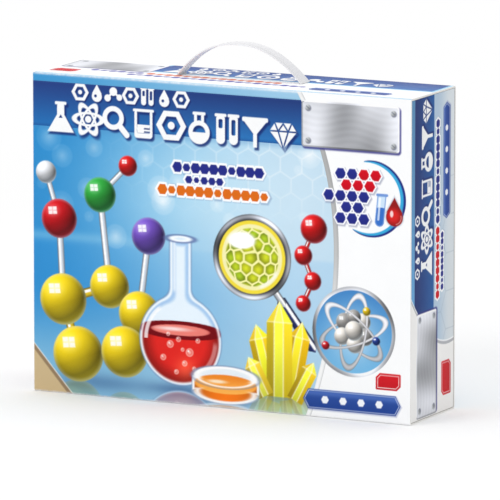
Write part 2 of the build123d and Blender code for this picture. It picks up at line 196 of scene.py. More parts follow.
def fold_wear_and_highlight(nodes):
    """How much the board is whitened along the four long folds and the cut edges at the ends, in patches: partly wear,
    partly painted highlight.
    """
    past_both = nodes.math("MINIMUM", *nodes.past_faces(FOLD))
    fold = nodes.remap(past_both, -0.1 * FOLD * MM, 0.6 * FOLD * MM)
    from_centre = nodes.math("ABSOLUTE", nodes.split()["X"])
    end = nodes.remap(from_centre, (HALF_LENGTH - 0.9) * MM, (HALF_LENGTH - 0.1) * MM)
    end = nodes.math("MULTIPLY", end, nodes.facing("X", 0.6, 0.5))
    patches = nodes.remap(nodes.noise(220.0, 6.0, 0.7), 0.35, 0.65, 0.25, 0.75)
    return nodes.math("MULTIPLY", nodes.math("MAXIMUM", fold, nodes.math("MULTIPLY", end, 0.7)), patches)


def varnished():
    """Offset print under a thin varnish: the picture's colours, folds whitened by wear and painted highlight, paper
    tooth, soft gloss.
    """
    nodes = Nodes("printed_varnished_board")
    ink = nodes.add("Attribute", {"attribute_name": "print"}).outputs["Color"]
    # The folds and cut edges are mixed towards white: partly wear, partly a painted highlight on the edges.
    colour = nodes.vary(nodes.mix(fold_wear_and_highlight(nodes), ink, rgba((0.93, 0.93, 0.93))), 45.0, 0.010)
    nodes.bump(nodes.noise(1400.0, 2.0), 0.04, 0.0002)
    nodes.set(Base_Color=colour, Roughness=nodes.patchy(60.0, 0.36, 0.46))
    return nodes.set(Coat_Weight=0.03, Coat_Roughness=0.2, Specular_IOR_Level=0.05)


def moulded(name, colour, roughness=0.35, grain=0.05, subsurface=0.0, **settings):
    """Moulded plastic: faint flow marks in its colour, a fine skin and an even sheen."""
    nodes = Nodes(name)
    nodes.set(Base_Color=nodes.vary(rgba(colour), 35.0, 0.02))
    nodes.set(Roughness=nodes.patchy(160.0, roughness - 0.05, roughness + 0.06, 4.0))
    nodes.bump(nodes.noise(900.0), grain, 0.0003)
    if subsurface:
        nodes.set(Subsurface_Weight=subsurface, Subsurface_Radius=(0.004, 0.004, 0.004), Subsurface_Scale=0.5)
    return nodes.set(**settings)


LAMP_TINT = (0.93, 0.945, 0.95)


def glassy(name, tint, roughness=0.06, ior=1.49):
    """Clear moulded plastic with faint waves in its skin, that lets the lamps' light through."""
    nodes = Nodes(name)
    nodes.set(Base_Color=nodes.vary(rgba(tint), 25.0, 0.01), Roughness=nodes.patchy(80.0, roughness, roughness + 0.05))
    nodes.bump(nodes.noise(60.0, 2.0), 0.05, 0.0004)
    nodes.cover(nodes.add("LightPath").outputs["Is Shadow Ray"], nodes.add("BsdfTransparent", Color=rgba(LAMP_TINT)))
    return nodes.set(Transmission_Weight=1.0, IOR=ior)


def board(name, outside, inside, cut_colours, out_rough=0.45, cut_axis="X", cut_from=0.6, cut_to=0.8):
    """Coated board: smooth outside the case, dull inside it, and fibrous where it is cut across."""
    nodes = Nodes(name)
    is_outside = nodes.remap(nodes.math("MAXIMUM", *nodes.past_faces(0)), -1.1 * MM, -0.9 * MM)
    skin = nodes.mix(is_outside, rgba(inside), rgba(outside))
    core = nodes.add("ValToRGB", Fac=nodes.noise(900.0, 4.0))
    for element, place, colour in zip(core.color_ramp.elements, (NOISE_LOW, NOISE_HIGH), cut_colours):
        element.position, element.color = place, rgba(colour)
    skin = nodes.mix(nodes.facing(cut_axis, cut_from, cut_to), skin, core.outputs["Color"])
    nodes.set(Base_Color=nodes.vary(skin, 30.0, 0.012), Roughness=nodes.remap(is_outside, 0.0, 1.0, 0.85, out_rough))
    nodes.bump(nodes.noise(700.0), 0.08, 0.0003)
    return nodes.set(Specular_IOR_Level=0.3)


# ---- Camera, light and floor ----
CAMERA_PLACE = Vector((3307.4, -6608.7, 1407.2)) * MM
CAMERA_AZIMUTH, CAMERA_ELEVATION = 26.535, 9.693
IMAGE_WIDTH, FOCAL_PIXELS, FILM, SIGHT = 500.0, 7869.0, 36.0, 100.0
WORLD_LIGHT = 0.70
# Name, place, what it looks at, width and length, and power of each lamp, in metres and watts.
LAMPS = (("key_light", (-2.2, -3.6, 2.6), (0, 0, 0.15), (2.6, 2.2), 58.0),
         ("top_light", (0.2, 0.3, 3.4), (0, 0, 0.2), (3.0, 3.0), 40.0))
FLOOR_REACH, FLOOR_FADE = 30.0, (0.45, 1.6)


def make_camera():
    """The photograph's view, from a fit to the carton's corners."""
    camera = linked("camera", bpy.data.cameras.new("camera"))
    camera.location = CAMERA_PLACE
    camera.rotation_euler = (math.radians(90 - CAMERA_ELEVATION), 0, math.radians(CAMERA_AZIMUTH))
    camera.data.sensor_width = FILM
    camera.data.lens = FOCAL_PIXELS / IMAGE_WIDTH * FILM
    camera.data.clip_end = SIGHT
    bpy.context.scene.camera = camera


def area_light(name, place, target, size, power):
    light = bpy.data.lights.new(name, "AREA")
    light.shape = "RECTANGLE"
    light.size, light.size_y = size
    light.energy = power
    lamp = linked(name, light)
    lamp.location = place
    lamp.rotation_euler = (Vector(target) - Vector(place)).to_track_quat("-Z", "Y").to_euler()


def make_surroundings():
    """A white studio, two soft lamps, and a pale floor that fades into the white."""
    world = Nodes("studio", "worlds", "Background")
    strength = world.remap(world.seen_share(), 0.0, 1.0, WORLD_LIGHT, 1.0)
    bpy.context.scene.world = world.set(Color=(1, 1, 1, 1), Strength=strength)
    for lamp in LAMPS:
        area_light(*lamp)
    mesh = bpy.data.meshes.new("floor")
    corners = [(x * FLOOR_REACH, y * FLOOR_REACH, 0) for x, y in ((-1, -1), (1, -1), (1, 1), (-1, 1))]
    mesh.from_pydata(corners, [], [(0, 1, 2, 3)])
    nodes = Nodes("pale_floor")
    colour = nodes.vary(rgba((0.985, 0.985, 0.985)), 3.0, 0.004)
    mesh.materials.append(nodes.set(Base_Color=colour, Roughness=0.9, Specular_IOR_Level=0.0))
    distance = nodes.add("VectorMath", {"operation": "LENGTH"}, Vector=nodes.place()).outputs["Value"]
    nodes.cover(nodes.math("MULTIPLY", nodes.remap(distance, *FLOOR_FADE), nodes.seen_share()), nodes.add("Emission"))
    linked("floor", mesh)


bpy.context.scene.view_settings.view_transform = "Standard"
make_camera()
make_surroundings()


# ---- Painting: colours as the eye sees them, worked out point by point, in millimetres on each face ----
WHITE = (0.965, 0.968, 0.972)
INK_NAVY = (0.15, 0.18, 0.52)
INK_RED = (0.80, 0.05, 0.13)
INK_ORANGE = (0.86, 0.42, 0.10)
SOFT, FINE = 0.9, 0.6


def share(value, low, high):
    """How far a value is from low to high, smoothly, from 0 to 1."""
    t = np.clip((value - low) / (high - low), 0, 1)
    return t * t * (3 - 2 * t)


def near(value, width=1.0):
    """1 where a value is nothing, and less and less within a width of it."""
    return np.exp(-((value / width) ** 2))


def blend(first, second, t):
    """One colour turned into another by a share."""
    first = np.asarray(first)
    return first + np.asarray(t)[..., None] * (np.asarray(second) - first)


def tinted(tone, colour):
    """A colour made lighter and darker by a tone at each point."""
    return np.asarray(tone)[..., None] * np.asarray(colour)


def nearest(x, y, places):
    """Distances to the nearest and the second nearest place, and which one is the nearest."""
    best = second = np.full(x.shape, 1e9)
    which = np.zeros(x.shape, int)
    for k, (cx, cy) in enumerate(places):
        d = np.hypot(x - cx, y - cy)
        which = np.where(d < best, k, which)
        second = np.minimum(second, np.maximum(best, d))
        best = np.minimum(best, d)
    return best, second, which


def honeycomb_lines(p, origin, size, rows, columns, width):
    """1 on the lines of a honeycomb: the points that are as far from one cell's middle as from the next."""
    places = [(origin[0] + (column + 0.5 * (row % 2)) * size * math.sqrt(3), origin[1] + row * size * 1.5)
              for row in rows for column in columns]
    best, second, _ = nearest(p.u, p.v, places)
    return near(second - best, width)


class Picture:
    """A printed picture. Each call lays one form over what is there."""

    def __init__(self, u, v, colour):
        self.u, self.v = u, v
        self.rgb = np.zeros(u.shape + (3,)) + np.asarray(colour)
        self.limit = 1.0

    def lay(self, cover, colour):
        """Cover what is there with a colour, by a share at each point."""
        cover = (np.clip(cover, 0, 1) * self.limit)[..., None]
        self.rgb = self.rgb + cover * (np.clip(colour, 0, 1) - self.rgb)

    def fill(self, distance, colour, soft=0.7, strength=1.0):
        """A form from the signed distance to its outline."""
        self.lay(strength * (0.5 - distance / soft), colour)

    def glow(self, cover, colour=(1, 1, 1)):
        """Light added over what is there, as a highlight adds it."""
        cover = (np.clip(cover, 0, 1) * self.limit)[..., None]
        self.rgb = self.rgb + cover * np.asarray(colour) * (1 - self.rgb)

    def standing(self, base, draw, strength=0.4, fade=26.0):
        """Draw a thing that stands on a shiny table: first its mirror image, then the thing."""
        v = self.v
        self.v = 2 * base - v
        self.limit = np.where(v < base, strength * np.exp(-np.maximum(base - v, 0) / fade), 0.0)
        draw()
        self.v, self.limit = v, 1.0
        draw()

    def local(self, centre, size=1.0):
        """Places from a centre, in units of a size."""
        return (self.u - centre[0]) / size, (self.v - centre[1]) / size

    def panel(self, low, high):
        """Places from the middle of a box, and half its sides."""
        half_x, half_y = (high[0] - low[0]) / 2, (high[1] - low[1]) / 2
        return *self.local((low[0] + half_x, low[1] + half_y)), half_x, half_y

    def disc(self, centre, radius):
        return np.hypot(*self.local(centre)) - radius

    def oval(self, centre, half):
        x, y = self.local(centre)
        return (np.hypot(x / half[0], y / half[1]) - 1) * min(half)

    def shadow(self, centre, half, strength):
        x, y = self.local(centre)
        self.lay(strength * np.exp(-2.2 * ((x / half[0]) ** 2 + (y / half[1]) ** 2)), (0.08, 0.20, 0.42))

    def along(self, start, end):
        """Share of the way from start to end, the distance to that line, and its length."""
        dx, dy = end[0] - start[0], end[1] - start[1]
        length = math.hypot(dx, dy)
        x, y = self.local(start)
        return (x * dx + y * dy) / length**2, (y * dx - x * dy) / length, length

    def ball(self, centre, radius, colour):
        """A glossy ball with a window in its highlight and light thrown back from the table."""
        x, y = self.local(centre, radius)
        rho = np.hypot(x, y)
        base = np.asarray(colour)
        light = np.clip(-0.45 * x + 0.60 * y + 0.66 * np.sqrt(np.clip(1 - rho**2, 0, 1)), 0, 1)
        bounce = np.clip(-0.75 * y + 0.3 * x - 0.15, 0, 1)
        tone = tinted(0.34 + 0.78 * light, base) + tinted(bounce, 0.35 * base + 0.12 * np.asarray((0.5, 0.75, 0.95)))
        tone = tone + (1 - tone) * tinted(0.35 * share(rho, 0.82, 1.02), (0.75, 0.88, 1.0))
        self.lay(0.5 - (rho - 1) * radius, tone)
        gx, gy = x + 0.33 + 0.12 * y, y - 0.42 - 0.08 * x
        window = np.maximum(np.abs(gx) / 0.24, np.abs(gy) / 0.19)
        cross = np.minimum(np.abs(gx), np.abs(gy) * 1.2)
        self.glow(share(window, 1.12, 0.88) * (0.55 + 0.45 * share(cross, 0.0, 0.05)) * 0.9)
        self.glow(0.35 * share(np.hypot(gx / 0.62, gy / 0.5), 1.0, 0.0))

    def rod(self, start, end, width, colour, core=0.5):
        """A round glossy stick between two places."""
        t, side, length = self.along(start, end)
        across = side / (width / 2)
        over = np.abs(side) - width / 2
        caps = np.maximum(np.abs(t - 0.5) - 0.5, 0) * length
        cover = 0.5 - (np.hypot(np.maximum(over, 0), caps) + np.minimum(over, 0)) / SOFT
        self.lay(cover, tinted(0.95 - core * np.clip(across, -1, 1) ** 2, colour))
        self.glow(cover * 0.75 * near(across - 0.35, 0.22))

    def edge_lines(self, distance, bright=0.85, dark=0.45, width=1.5):
        """The bright and dark lines along the rim of clear glass, drawn from its signed distance."""
        self.lay(dark * near(distance + 0.3, 0.5 * width), (0.22, 0.34, 0.55))
        self.glow(bright * near(distance + 1.5 * width, width), (0.95, 0.98, 1.0))


BLURRED_LIGHTS = 22


def backdrop(p):
    """A laboratory in soft blue light: sky, the far edge of a shiny table, blurred lights and a honeycomb."""
    u, v = p.u, p.v
    across = share(u, -205, 105)
    p.rgb = blend((0.15, 0.52, 0.78), (0.74, 0.85, 0.925), across**1.15)
    p.rgb = p.rgb + tinted((1 - share(v, 20, 262)) * 0.10 * (1 - across), (0.4, 0.2, 0.1))
    p.lay(0.12 * share(v, 152, 147), (0.26, 0.60, 0.88))
    p.lay(share(v, 112, 10) * (0.45 + 0.27 * share(u, 60, -60)), (0.64, 0.80, 0.88))
    p.glow(0.25 * near(v - 153, 5) * share(u, 40, -200), (0.8, 0.95, 1))
    p.glow(0.55 * near(u + 20, 120) * near(v - 205, 75), (0.75, 0.90, 1.0))
    rng = random.Random(11)
    for _ in range(BLURRED_LIGHTS):
        centre = (rng.uniform(-195, 95), rng.uniform(150, 250))
        d = p.disc(centre, rng.uniform(4, 13))
        strength = 0.5 + 0.5 * share(centre[0], -190, -60)
        p.glow(strength * (0.12 * (0.5 - d / 2.5) + 0.08 * near(d, 1.6)))
    lines = honeycomb_lines(p, (-60, 200), 13.0, range(-3, 5), range(-5, 10), 1.7)
    p.glow(0.30 * lines * share(v, 172, 236) * share(u, -150, 40))


BUBBLES = ((-0.25, -0.1, 3.2), (-0.05, 0.02, 2.2), (0.22, -0.25, 3.6), (0.1, -0.5, 2.4), (-0.42, -0.4, 2.6),
           (0.42, 0.02, 2.0), (-0.1, -0.7, 2.0), (0.33, -0.6, 1.7), (-0.3, 0.12, 1.6), (0.05, -0.2, 1.5))


def round_flask(p, centre, radius, top):
    """A round glass flask with a long neck, half full, with bubbles in it."""
    cx, cy = centre
    body = p.disc(centre, radius)
    neck_half, meeting = 0.27 * radius, 9.0
    neck = np.maximum(np.abs(p.u - cx) - neck_half, np.maximum(p.v - top, cy - p.v))
    h = np.clip(0.5 + 0.5 * (neck - body) / meeting, 0, 1)
    glass = neck + (body - neck) * h - meeting * h * (1 - h)
    p.fill(glass, (0.90, 0.95, 0.99), SOFT, 0.34)
    p.fill(glass, (0.55, 0.72, 0.90), SOFT, 0.30 * share(glass, -9, 0))
    level = cy + 0.22 * radius
    half = math.sqrt(radius**2 - (level - cy) ** 2) - 2.6
    surface = p.oval((cx, level), (half, 0.16 * radius))
    x, y = p.local(centre, radius)
    rho = np.hypot(x, y)
    red = tinted(1.02 - 0.42 * share(rho, 0.55, 1.0), (0.86, 0.15, 0.13))
    red = red + tinted(0.40 * np.exp(-((x - 0.12) ** 2 + (y + 0.62) ** 2) / 0.06), (0.3, 0.42, 0.25))
    p.fill(np.minimum(np.maximum(p.disc(centre, radius - 2.2), p.v - level), surface), red, SOFT)
    p.fill(surface, (0.93, 0.50, 0.46), SOFT, 0.80)
    p.fill(glass, (0.45, 0.03, 0.07), SOFT, 0.85 * near(surface, 0.9))
    p.glow(0.75 * share(p.oval((cx - 0.2 * half, level + 0.02 * radius), (half * 0.5, 0.05 * radius)), 1, -2))
    for gx, gy, size in BUBBLES:
        gx, gy = cx + gx * radius, cy + gy * radius
        d = p.disc((gx, gy), size)
        p.glow(0.22 * (0.5 - d) + 0.55 * near(d, 0.7), (1, 0.85, 0.8))
        p.glow(0.9 * (0.5 - p.disc((gx - 0.35 * size, gy + 0.35 * size), 0.28 * size)))
    p.edge_lines(glass)
    band = np.abs(rho - 0.84) / 0.05
    turn = np.degrees(np.arctan2(y, x))
    p.glow(0.8 * share(band, 1.3, 0.5) * share(np.abs(turn - 155), 34, 24))
    p.glow(0.45 * share(band, 1.5, 0.5) * share(np.abs(turn + 25), 30, 18), (1, 0.9, 0.9))
    on_neck = share(p.v, cy + radius, cy + radius + 6) * share(p.v, top, top - 4)
    p.glow(0.65 * near((p.u - cx) / neck_half + 0.55, 0.14) * on_neck)
    lip = p.oval((cx, top), (neck_half + 3.2, 3.6))
    p.fill(lip, (0.86, 0.92, 0.97), SOFT, 0.55)
    p.lay(0.8 * near(lip, 0.8), (0.35, 0.42, 0.62))
    p.glow(0.8 * near(lip + 1.6, 0.8))


def magnifier(p, centre, radius, handle_end):
    """A magnifying glass over green and yellow plant cells."""
    part = lambda t: tuple(a + (b - a) * t for a, b in zip(centre, handle_end))
    p.rod(part(0.48), handle_end, 10.5, (0.16, 0.20, 0.42), 0.45)
    p.rod(part(0.36), part(0.52), 7.0, (0.80, 0.82, 0.85), 0.6)
    lens = p.disc(centre, radius)
    x, y = p.local(centre, radius)
    rho = np.hypot(x, y)
    bulge = 2.3 / (1 + 0.35 * (1 - rho**2))
    rng = random.Random(7)
    wander = lambda: rng.uniform(-0.12, 0.12)
    cells = [((i + 0.5 * (j % 2)) * 0.62 + wander(), j * 0.54 + wander(), rng.random())
             for i in range(-5, 6) for j in range(-5, 6)]
    best, second, which = nearest(x * bulge, y * bulge, [cell[:2] for cell in cells])
    tone = blend((0.80, 0.82, 0.16), (0.62, 0.74, 0.14), np.asarray([cell[2] for cell in cells])[which])
    tone = tone * (1.08 - 0.45 * share(best, 0.0, 0.45))[..., None]
    for cover, colour in ((share(second - best, 0.16, 0.05), (0.97, 0.96, 0.66)),
                          (share(rho, 0.74, 0.80), (0.96, 0.94, 0.70)), (share(rho, 0.86, 0.90), (0.95, 0.86, 0.25))):
        tone = blend(tone, colour, cover)
    p.fill(lens, tone, SOFT)
    p.glow((0.5 - lens / SOFT) * 0.25 * share(np.hypot((x + 0.35) / 0.55, (y - 0.45) / 0.30), 1.0, 0.0))
    turn = np.arctan2(y, x)
    p.glow(0.6 * share(np.abs(rho - 0.8) / 0.05, 1.4, 0.5) * share(np.abs(np.degrees(turn) + 50), 30, 18))
    rim = p.disc(centre, radius + 2.2)
    metal = 0.66 + 0.22 * np.cos(2 * turn - 2.2) + 0.16 * np.cos(5 * turn + 1.0)
    metal = metal * (0.75 + 0.35 * np.cos(rim * 0.8 - 0.6))
    p.fill(np.abs(rim) - 3.0, tinted(metal, (0.96, 0.98, 1.03)), SOFT)


def dish(p, centre, half, depth):
    """A shallow glass dish of orange liquid."""
    cx, cy = centre

    def drum(top, low, half_of):
        """The side of an upright drum, with the round of its foot."""
        sides = np.maximum(np.abs(p.u - cx) - half_of[0], np.maximum(p.v - top, low - p.v))
        return np.minimum(sides, p.oval((cx, low), half_of))

    top = p.oval(centre, half)
    both = np.minimum(drum(cy, cy - depth, half), top)
    p.fill(both, (0.90, 0.94, 0.97), SOFT, 0.65)
    level = cy - 0.45 * depth
    inner = (half[0] - 2.5, half[1] - 1.8)
    x = (p.u - cx) / half[0]
    p.fill(drum(level, cy - depth + 1, inner), tinted(1.08 - 0.35 * x**2, (0.90, 0.45, 0.10)), SOFT, 0.92)
    liquid = blend((0.93, 0.52, 0.15), (0.99, 0.72, 0.34), share(p.v, level + half[1], level - half[1]))
    p.fill(p.oval((cx, level), inner), liquid, SOFT, 0.96)
    shine = p.oval((cx - 0.25 * half[0], level + 0.2 * half[1]), (0.34 * half[0], 0.2 * half[1]))
    p.glow(0.8 * share(shine, 0.6, -1.6), (1, 0.97, 0.9))
    p.edge_lines(both, 0.9, 0.35, 1.2)
    p.lay(0.5 * near(top, 0.7), (0.45, 0.52, 0.66))
    p.glow(0.9 * near(top + 1.6, 0.8))


def crystal(p, foot, tip, width, colour):
    """One six-sided crystal: three long facets and a pointed end."""
    t, side, length = p.along(foot, tip)
    across = side / (width / 2)
    shoulder, left_edge, right_edge = 0.78, 0.42, -0.30
    point = np.clip((t - shoulder) / (1 - shoulder), 0, 1)
    limit = 1 - point
    cover = 0.5 - (np.abs(across) - limit) * (width / 2) / SOFT
    cover = np.minimum(cover, 0.5 + np.minimum(t, 1 - t) * length / SOFT)
    base = np.asarray(colour)
    left, right = across > left_edge * limit, across < right_edge * limit
    tone = np.where(left[..., None], base * 0.80, np.where(right[..., None], base, np.clip(base * 1.15 + 0.10, 0, 1)))
    tone = tone * (0.80 + 0.34 * np.clip(t, 0, 1))[..., None]
    p.lay(cover, np.where((point > 0)[..., None], tone * 1.06 + 0.07, tone))
    cover = np.clip(cover, 0, 1)
    for line in (left_edge, right_edge):
        p.glow(cover * 0.65 * near((across - line * limit) * width / 2, 0.7), (1, 1, 0.9))
    p.glow(cover * 0.5 * near((t - shoulder) * length, 0.8), (1, 1, 0.9))


def molecule(p):
    """Five yellow balls in a ring, with sticks up to smaller balls."""
    ring = [(-168, 92, 25), (-118, 108, 21), (-86, 84, 22), (-102, 46, 25), (-152, 40, 27)]
    ups = [(0, (-172, 170), 19, (0.80, 0.10, 0.13)), (1, (-128, 196), 17, (0.20, 0.66, 0.26)),
           (2, (-76, 160), 18, (0.46, 0.33, 0.76))]
    pale = (0.86, 0.90, 0.95)
    for a, b in zip(ring, ring[1:] + ring[:1]):
        p.rod(a[:2], b[:2], 9, (0.93, 0.80, 0.20))
    for k, place, radius, colour in ups:
        p.rod(ring[k][:2], place, 7, pale)
    p.rod((-128, 196), (-98, 226), 5.5, pale)
    p.rod((-172, 170), (-186, 214), 5.5, pale)
    p.ball((-98, 226), 10, (0.85, 0.12, 0.12))
    p.ball((-186, 214), 11, (0.94, 0.95, 0.97))
    for k, place, radius, colour in ups:
        p.ball(place, radius, colour)
    for k in (1, 0, 2, 4, 3):
        p.ball(ring[k][:2], ring[k][2], (0.96, 0.84, 0.12))


CRYSTALS = (((54, 22), (38, 84), 22, (0.93, 0.78, 0.10)), ((74, 20), (87, 90), 22, (0.90, 0.72, 0.08)),
            ((63, 16), (63, 108), 27, (0.97, 0.86, 0.16)), ((49, 16), (30, 52), 17, (0.95, 0.82, 0.20)),
            ((79, 14), (99, 52), 17, (0.93, 0.78, 0.14)))


def front_picture(p):
    """The laboratory table with a ball model, a lens, a round flask, crystals, a red chain and a dish."""
    backdrop(p)
    p.shadow((-128, 14), (80, 13), 0.34)
    p.standing(14, lambda: molecule(p))
    magnifier(p, (34, 148), 36, (98, 66))
    p.shadow((-42, 14), (48, 9), 0.45)
    p.standing(16, lambda: round_flask(p, (-42, 62), 44, 160), 0.45)
    p.shadow((64, 15), (44, 9), 0.45)
    p.standing(17, lambda: [crystal(p, *stone) for stone in CRYSTALS], 0.4)
    chain_balls = [((88, 108), 8), ((98, 130), 9), ((88, 154), 9.5), ((99, 180), 14)]
    for (a, _), (b, _) in zip(chain_balls, chain_balls[1:]):
        p.rod(a, b, 4.5, (0.85, 0.16, 0.16))
    for place, radius in chain_balls:
        p.ball(place, radius, (0.86, 0.10, 0.11))
    p.shadow((6, 8), (44, 8), 0.5)
    p.standing(5, lambda: dish(p, (6, 30), (36, 11), 15), 0.4, 14)


# ---- Small signs: each gives the distance to its outline, for a sign about one unit high at the origin ----
SIN_60 = 0.8660254


def segment(x, y, a, b, radius):
    """A round-ended stroke from a to b."""
    dx, dy = b[0] - a[0], b[1] - a[1]
    t = np.clip(((x - a[0]) * dx + (y - a[1]) * dy) / (dx * dx + dy * dy), 0, 1)
    return np.hypot(x - a[0] - t * dx, y - a[1] - t * dy) - radius


def hexagon(x, y, radius):
    px, py = np.abs(y), np.abs(x)
    return np.maximum(px * 0.5 + py * SIN_60, px) - radius * SIN_60


def box(x, y, half_x, half_y, radius=0.0):
    """A box with round corners."""
    dx, dy = np.abs(x) - half_x + radius, np.abs(y) - half_y + radius
    return np.hypot(np.maximum(dx, 0), np.maximum(dy, 0)) + np.minimum(np.maximum(dx, dy), 0) - radius


def union(*distances):
    return np.minimum.reduce(distances)


def common(*distances):
    return np.maximum.reduce(distances)


def ring(x, y):
    return union(np.abs(hexagon(x, y, 0.42)) - 0.085, np.hypot(x, y) - 0.12)


def flask(x, y):
    slope = common((np.abs(x) - 0.40 + 0.62 * (y + 0.36)) * 0.85, -0.46 - y, y - 0.30)
    body = union(slope, box(x, y - 0.18, 0.125, 0.26), box(x, y - 0.44, 0.20, 0.05, 0.04))
    hole = common((np.abs(x) - 0.24 + 0.62 * (y + 0.30)) * 0.85, -0.02 - y, y - 0.12)
    return common(body, -hole)


def bulb(x, y):
    round_part = np.hypot(x, y + 0.14)
    neck, lip = common(np.abs(np.abs(x) - 0.12) - 0.05, 0.10 - y, y - 0.44), box(x, y - 0.44, 0.22, 0.05, 0.04)
    return union(np.abs(round_part - 0.29) - 0.075, common(round_part - 0.30, y + 0.14), neck, lip)


def drop_outline(x, y):
    return union(np.hypot(x, y + 0.16) - 0.30, common(np.abs(x) * 0.86 + (y - 0.48) * 0.5, -0.02 - y))


def drop(x, y):
    return common(drop_outline(x, y), 0.08 - np.hypot(x + 0.08, y + 0.14))


def tubes(x, y):
    bodies = union(*(segment(x, y, (place, 0.32), (place, -0.30), 0.15) for place in (-0.22, 0.22)))
    tops = union(*(box(x - place, y - 0.44, 0.20, 0.05, 0.04) for place in (-0.22, 0.22)))
    holes = union(box(x + 0.22, y - 0.18, 0.07, 0.14, 0.05), box(x - 0.22, y - 0.08, 0.07, 0.24, 0.05))
    return union(common(bodies, -holes), tops)


def turned(x, y, degrees):
    a = math.radians(degrees)
    return x * math.cos(a) + y * math.sin(a), -x * math.sin(a) + y * math.cos(a)


def atom(x, y):
    parts = [np.hypot(x, y) - 0.11]
    for degrees in (0, 60, 120):
        along, across = turned(x, y, degrees)
        parts.append(np.abs(np.hypot(along / 0.48, across / 0.19) - 1) * 0.21 - 0.040)
    return union(*parts)


def lens(x, y):
    return union(np.abs(np.hypot(x + 0.09, y - 0.10) - 0.29) - 0.08, segment(x, y, (0.16, -0.16), (0.38, -0.40), 0.095))


def chain(x, y):
    places = ((-0.36, -0.20), (-0.02, 0.16), (0.34, -0.14))
    discs = [np.hypot(x - a, y - b) - r for (a, b), r in zip(places, (0.19, 0.23, 0.17))]
    return union(*discs, *(segment(x, y, a, b, 0.06) for a, b in zip(places, places[1:])))


def cup(x, y):
    outside, inside = box(x, y + 0.02, 0.31, 0.44, 0.10), box(x, y - 0.10, 0.22, 0.40, 0.03)
    marks = union(*(box(x - 0.12, y + shift, 0.10, 0.022) for shift in (0.26, 0.16)))
    walls = union(common(outside, -inside), common(inside, y + 0.04))
    return union(common(walls, y - 0.38, -marks), box(x, y - 0.40, 0.36, 0.045, 0.04))


def funnel(x, y):
    cone = common((np.abs(x) - 0.40 + 0.85 * (0.34 - y)) * 0.76, y - 0.34, -0.12 - y)
    return union(cone, box(x, y + 0.22, 0.065, 0.26, 0.02), box(x, y - 0.38, 0.44, 0.07, 0.05))


def gem(x, y):
    reach = np.abs(x)
    upper = (reach - 0.28) * 0.822 + (y - 0.34) * 0.569
    lower = (reach - 0.46) * 0.761 - (y - 0.08) * 0.648
    middle = (0.17, 0.08)
    facets = (((0.0, 0.08), (0.44, 0.08)), (middle, (0.0, -0.44)), (middle, (0.0, 0.32)), (middle, (0.28, 0.32)))
    return common(y - 0.34, upper, lower, -union(*(segment(reach, y, a, b, 0.024) for a, b in facets)))


NAVY_SHADE = (0.09, 0.17, 0.42)


def sign_row(p, signs, start, pitch, level, size, colour=WHITE, shade=NAVY_SHADE, shade_depth=0.85, lift=0.06):
    """A row of signs with soft shadows to the lower right."""
    for shift in (lift, 0):
        for k, sign in enumerate(signs):
            x, y = p.local((start + k * pitch, level), size)
            close = (np.abs(x) < 0.8) & (np.abs(y) < 0.8)
            if not close.any():
                continue
            d = np.full(p.u.shape, 9.0)
            d[close] = sign(x[close] - shift, y[close] + shift * 1.15)
            if shift:
                p.lay(shade_depth * share(d * size, 0.055 * size, -0.03 * size), shade)
            else:
                p.fill(d * size, colour)


def title_signs(p):
    """Two rows of plain signs in the dark band, which goes round to the back."""
    sign_row(p, (ring, drop, chain, ring, tubes, drop, ring), -149, 18.0, 293.6, 18.0)
    sign_row(p, (flask, atom, lens, cup, ring, bulb, tubes, funnel, gem), -170, 29.6, 268.0, 31.0)


def steel_plate(p, low, high):
    """A plain steel plate with a screw near each corner, drawn with its shadow."""
    x, y, hx, hy = p.panel(low, high)
    p.lay(0.85 * share(box(x - 1.2, y + 1.4, hx, hy, 3.0), 1.6, -0.6), (0.22, 0.22, 0.50))
    face = box(x, y, hx, hy, 3.0)
    s, t = (x + hx) / (2 * hx), (y + hy) / (2 * hy)
    sheen = 0.82 + 0.13 * np.sin(6.4 * s + 1.1 * t + 0.9) + 0.05 * np.sin(15.0 * s - 2.0 * t) - 0.08 * (1 - t)
    sheen = sheen + 0.013 * np.sin(43.0 * t + 3.0 * np.sin(9.0 * s))
    sheen = sheen + share(face, -1.7, -1.1) * np.where(y > -x * hy / hx, 0.18, -0.22)
    p.fill(face, np.clip(tinted(sheen, (0.98, 0.99, 1.02)), 0, 0.98))
    for side_x, side_y in ((-1, -1), (-1, 1), (1, -1), (1, 1)):
        sx, sy = x - side_x * (hx - 6.5), y - side_y * (hy - 6.5)
        head = np.hypot(sx, sy) - 2.6
        p.lay(0.6 * share(np.hypot(sx - 0.6, sy + 0.7) - 2.8, 1.0, -0.6), (0.25, 0.27, 0.36))
        p.fill(head, tinted(0.72 - 0.12 * (sx - sy) / 2.6, (0.97, 0.99, 1.0)))
        slot = np.abs(sx * 0.6 + sy * 0.8) - 0.45
        p.fill(np.maximum(slot, head + 0.5), (0.30, 0.32, 0.40), FINE, 0.55)


def tag(p, low, high):
    """A bare red tag with two cut corners."""
    x, y, hx, hy = p.panel(low, high)
    d = common(box(x, y, hx, hy, 1.2), *((side * (x - y) - (hx + hy) + 4.2) * 0.707 for side in (1, -1)))
    p.fill(d, tinted(1.04 - 0.10 * (hy - y) / (2 * hy), (0.80, 0.11, 0.15)))
    p.fill(np.abs(d + 2.0) - 0.35, (0.96, 0.90, 0.90), FINE, 0.9)


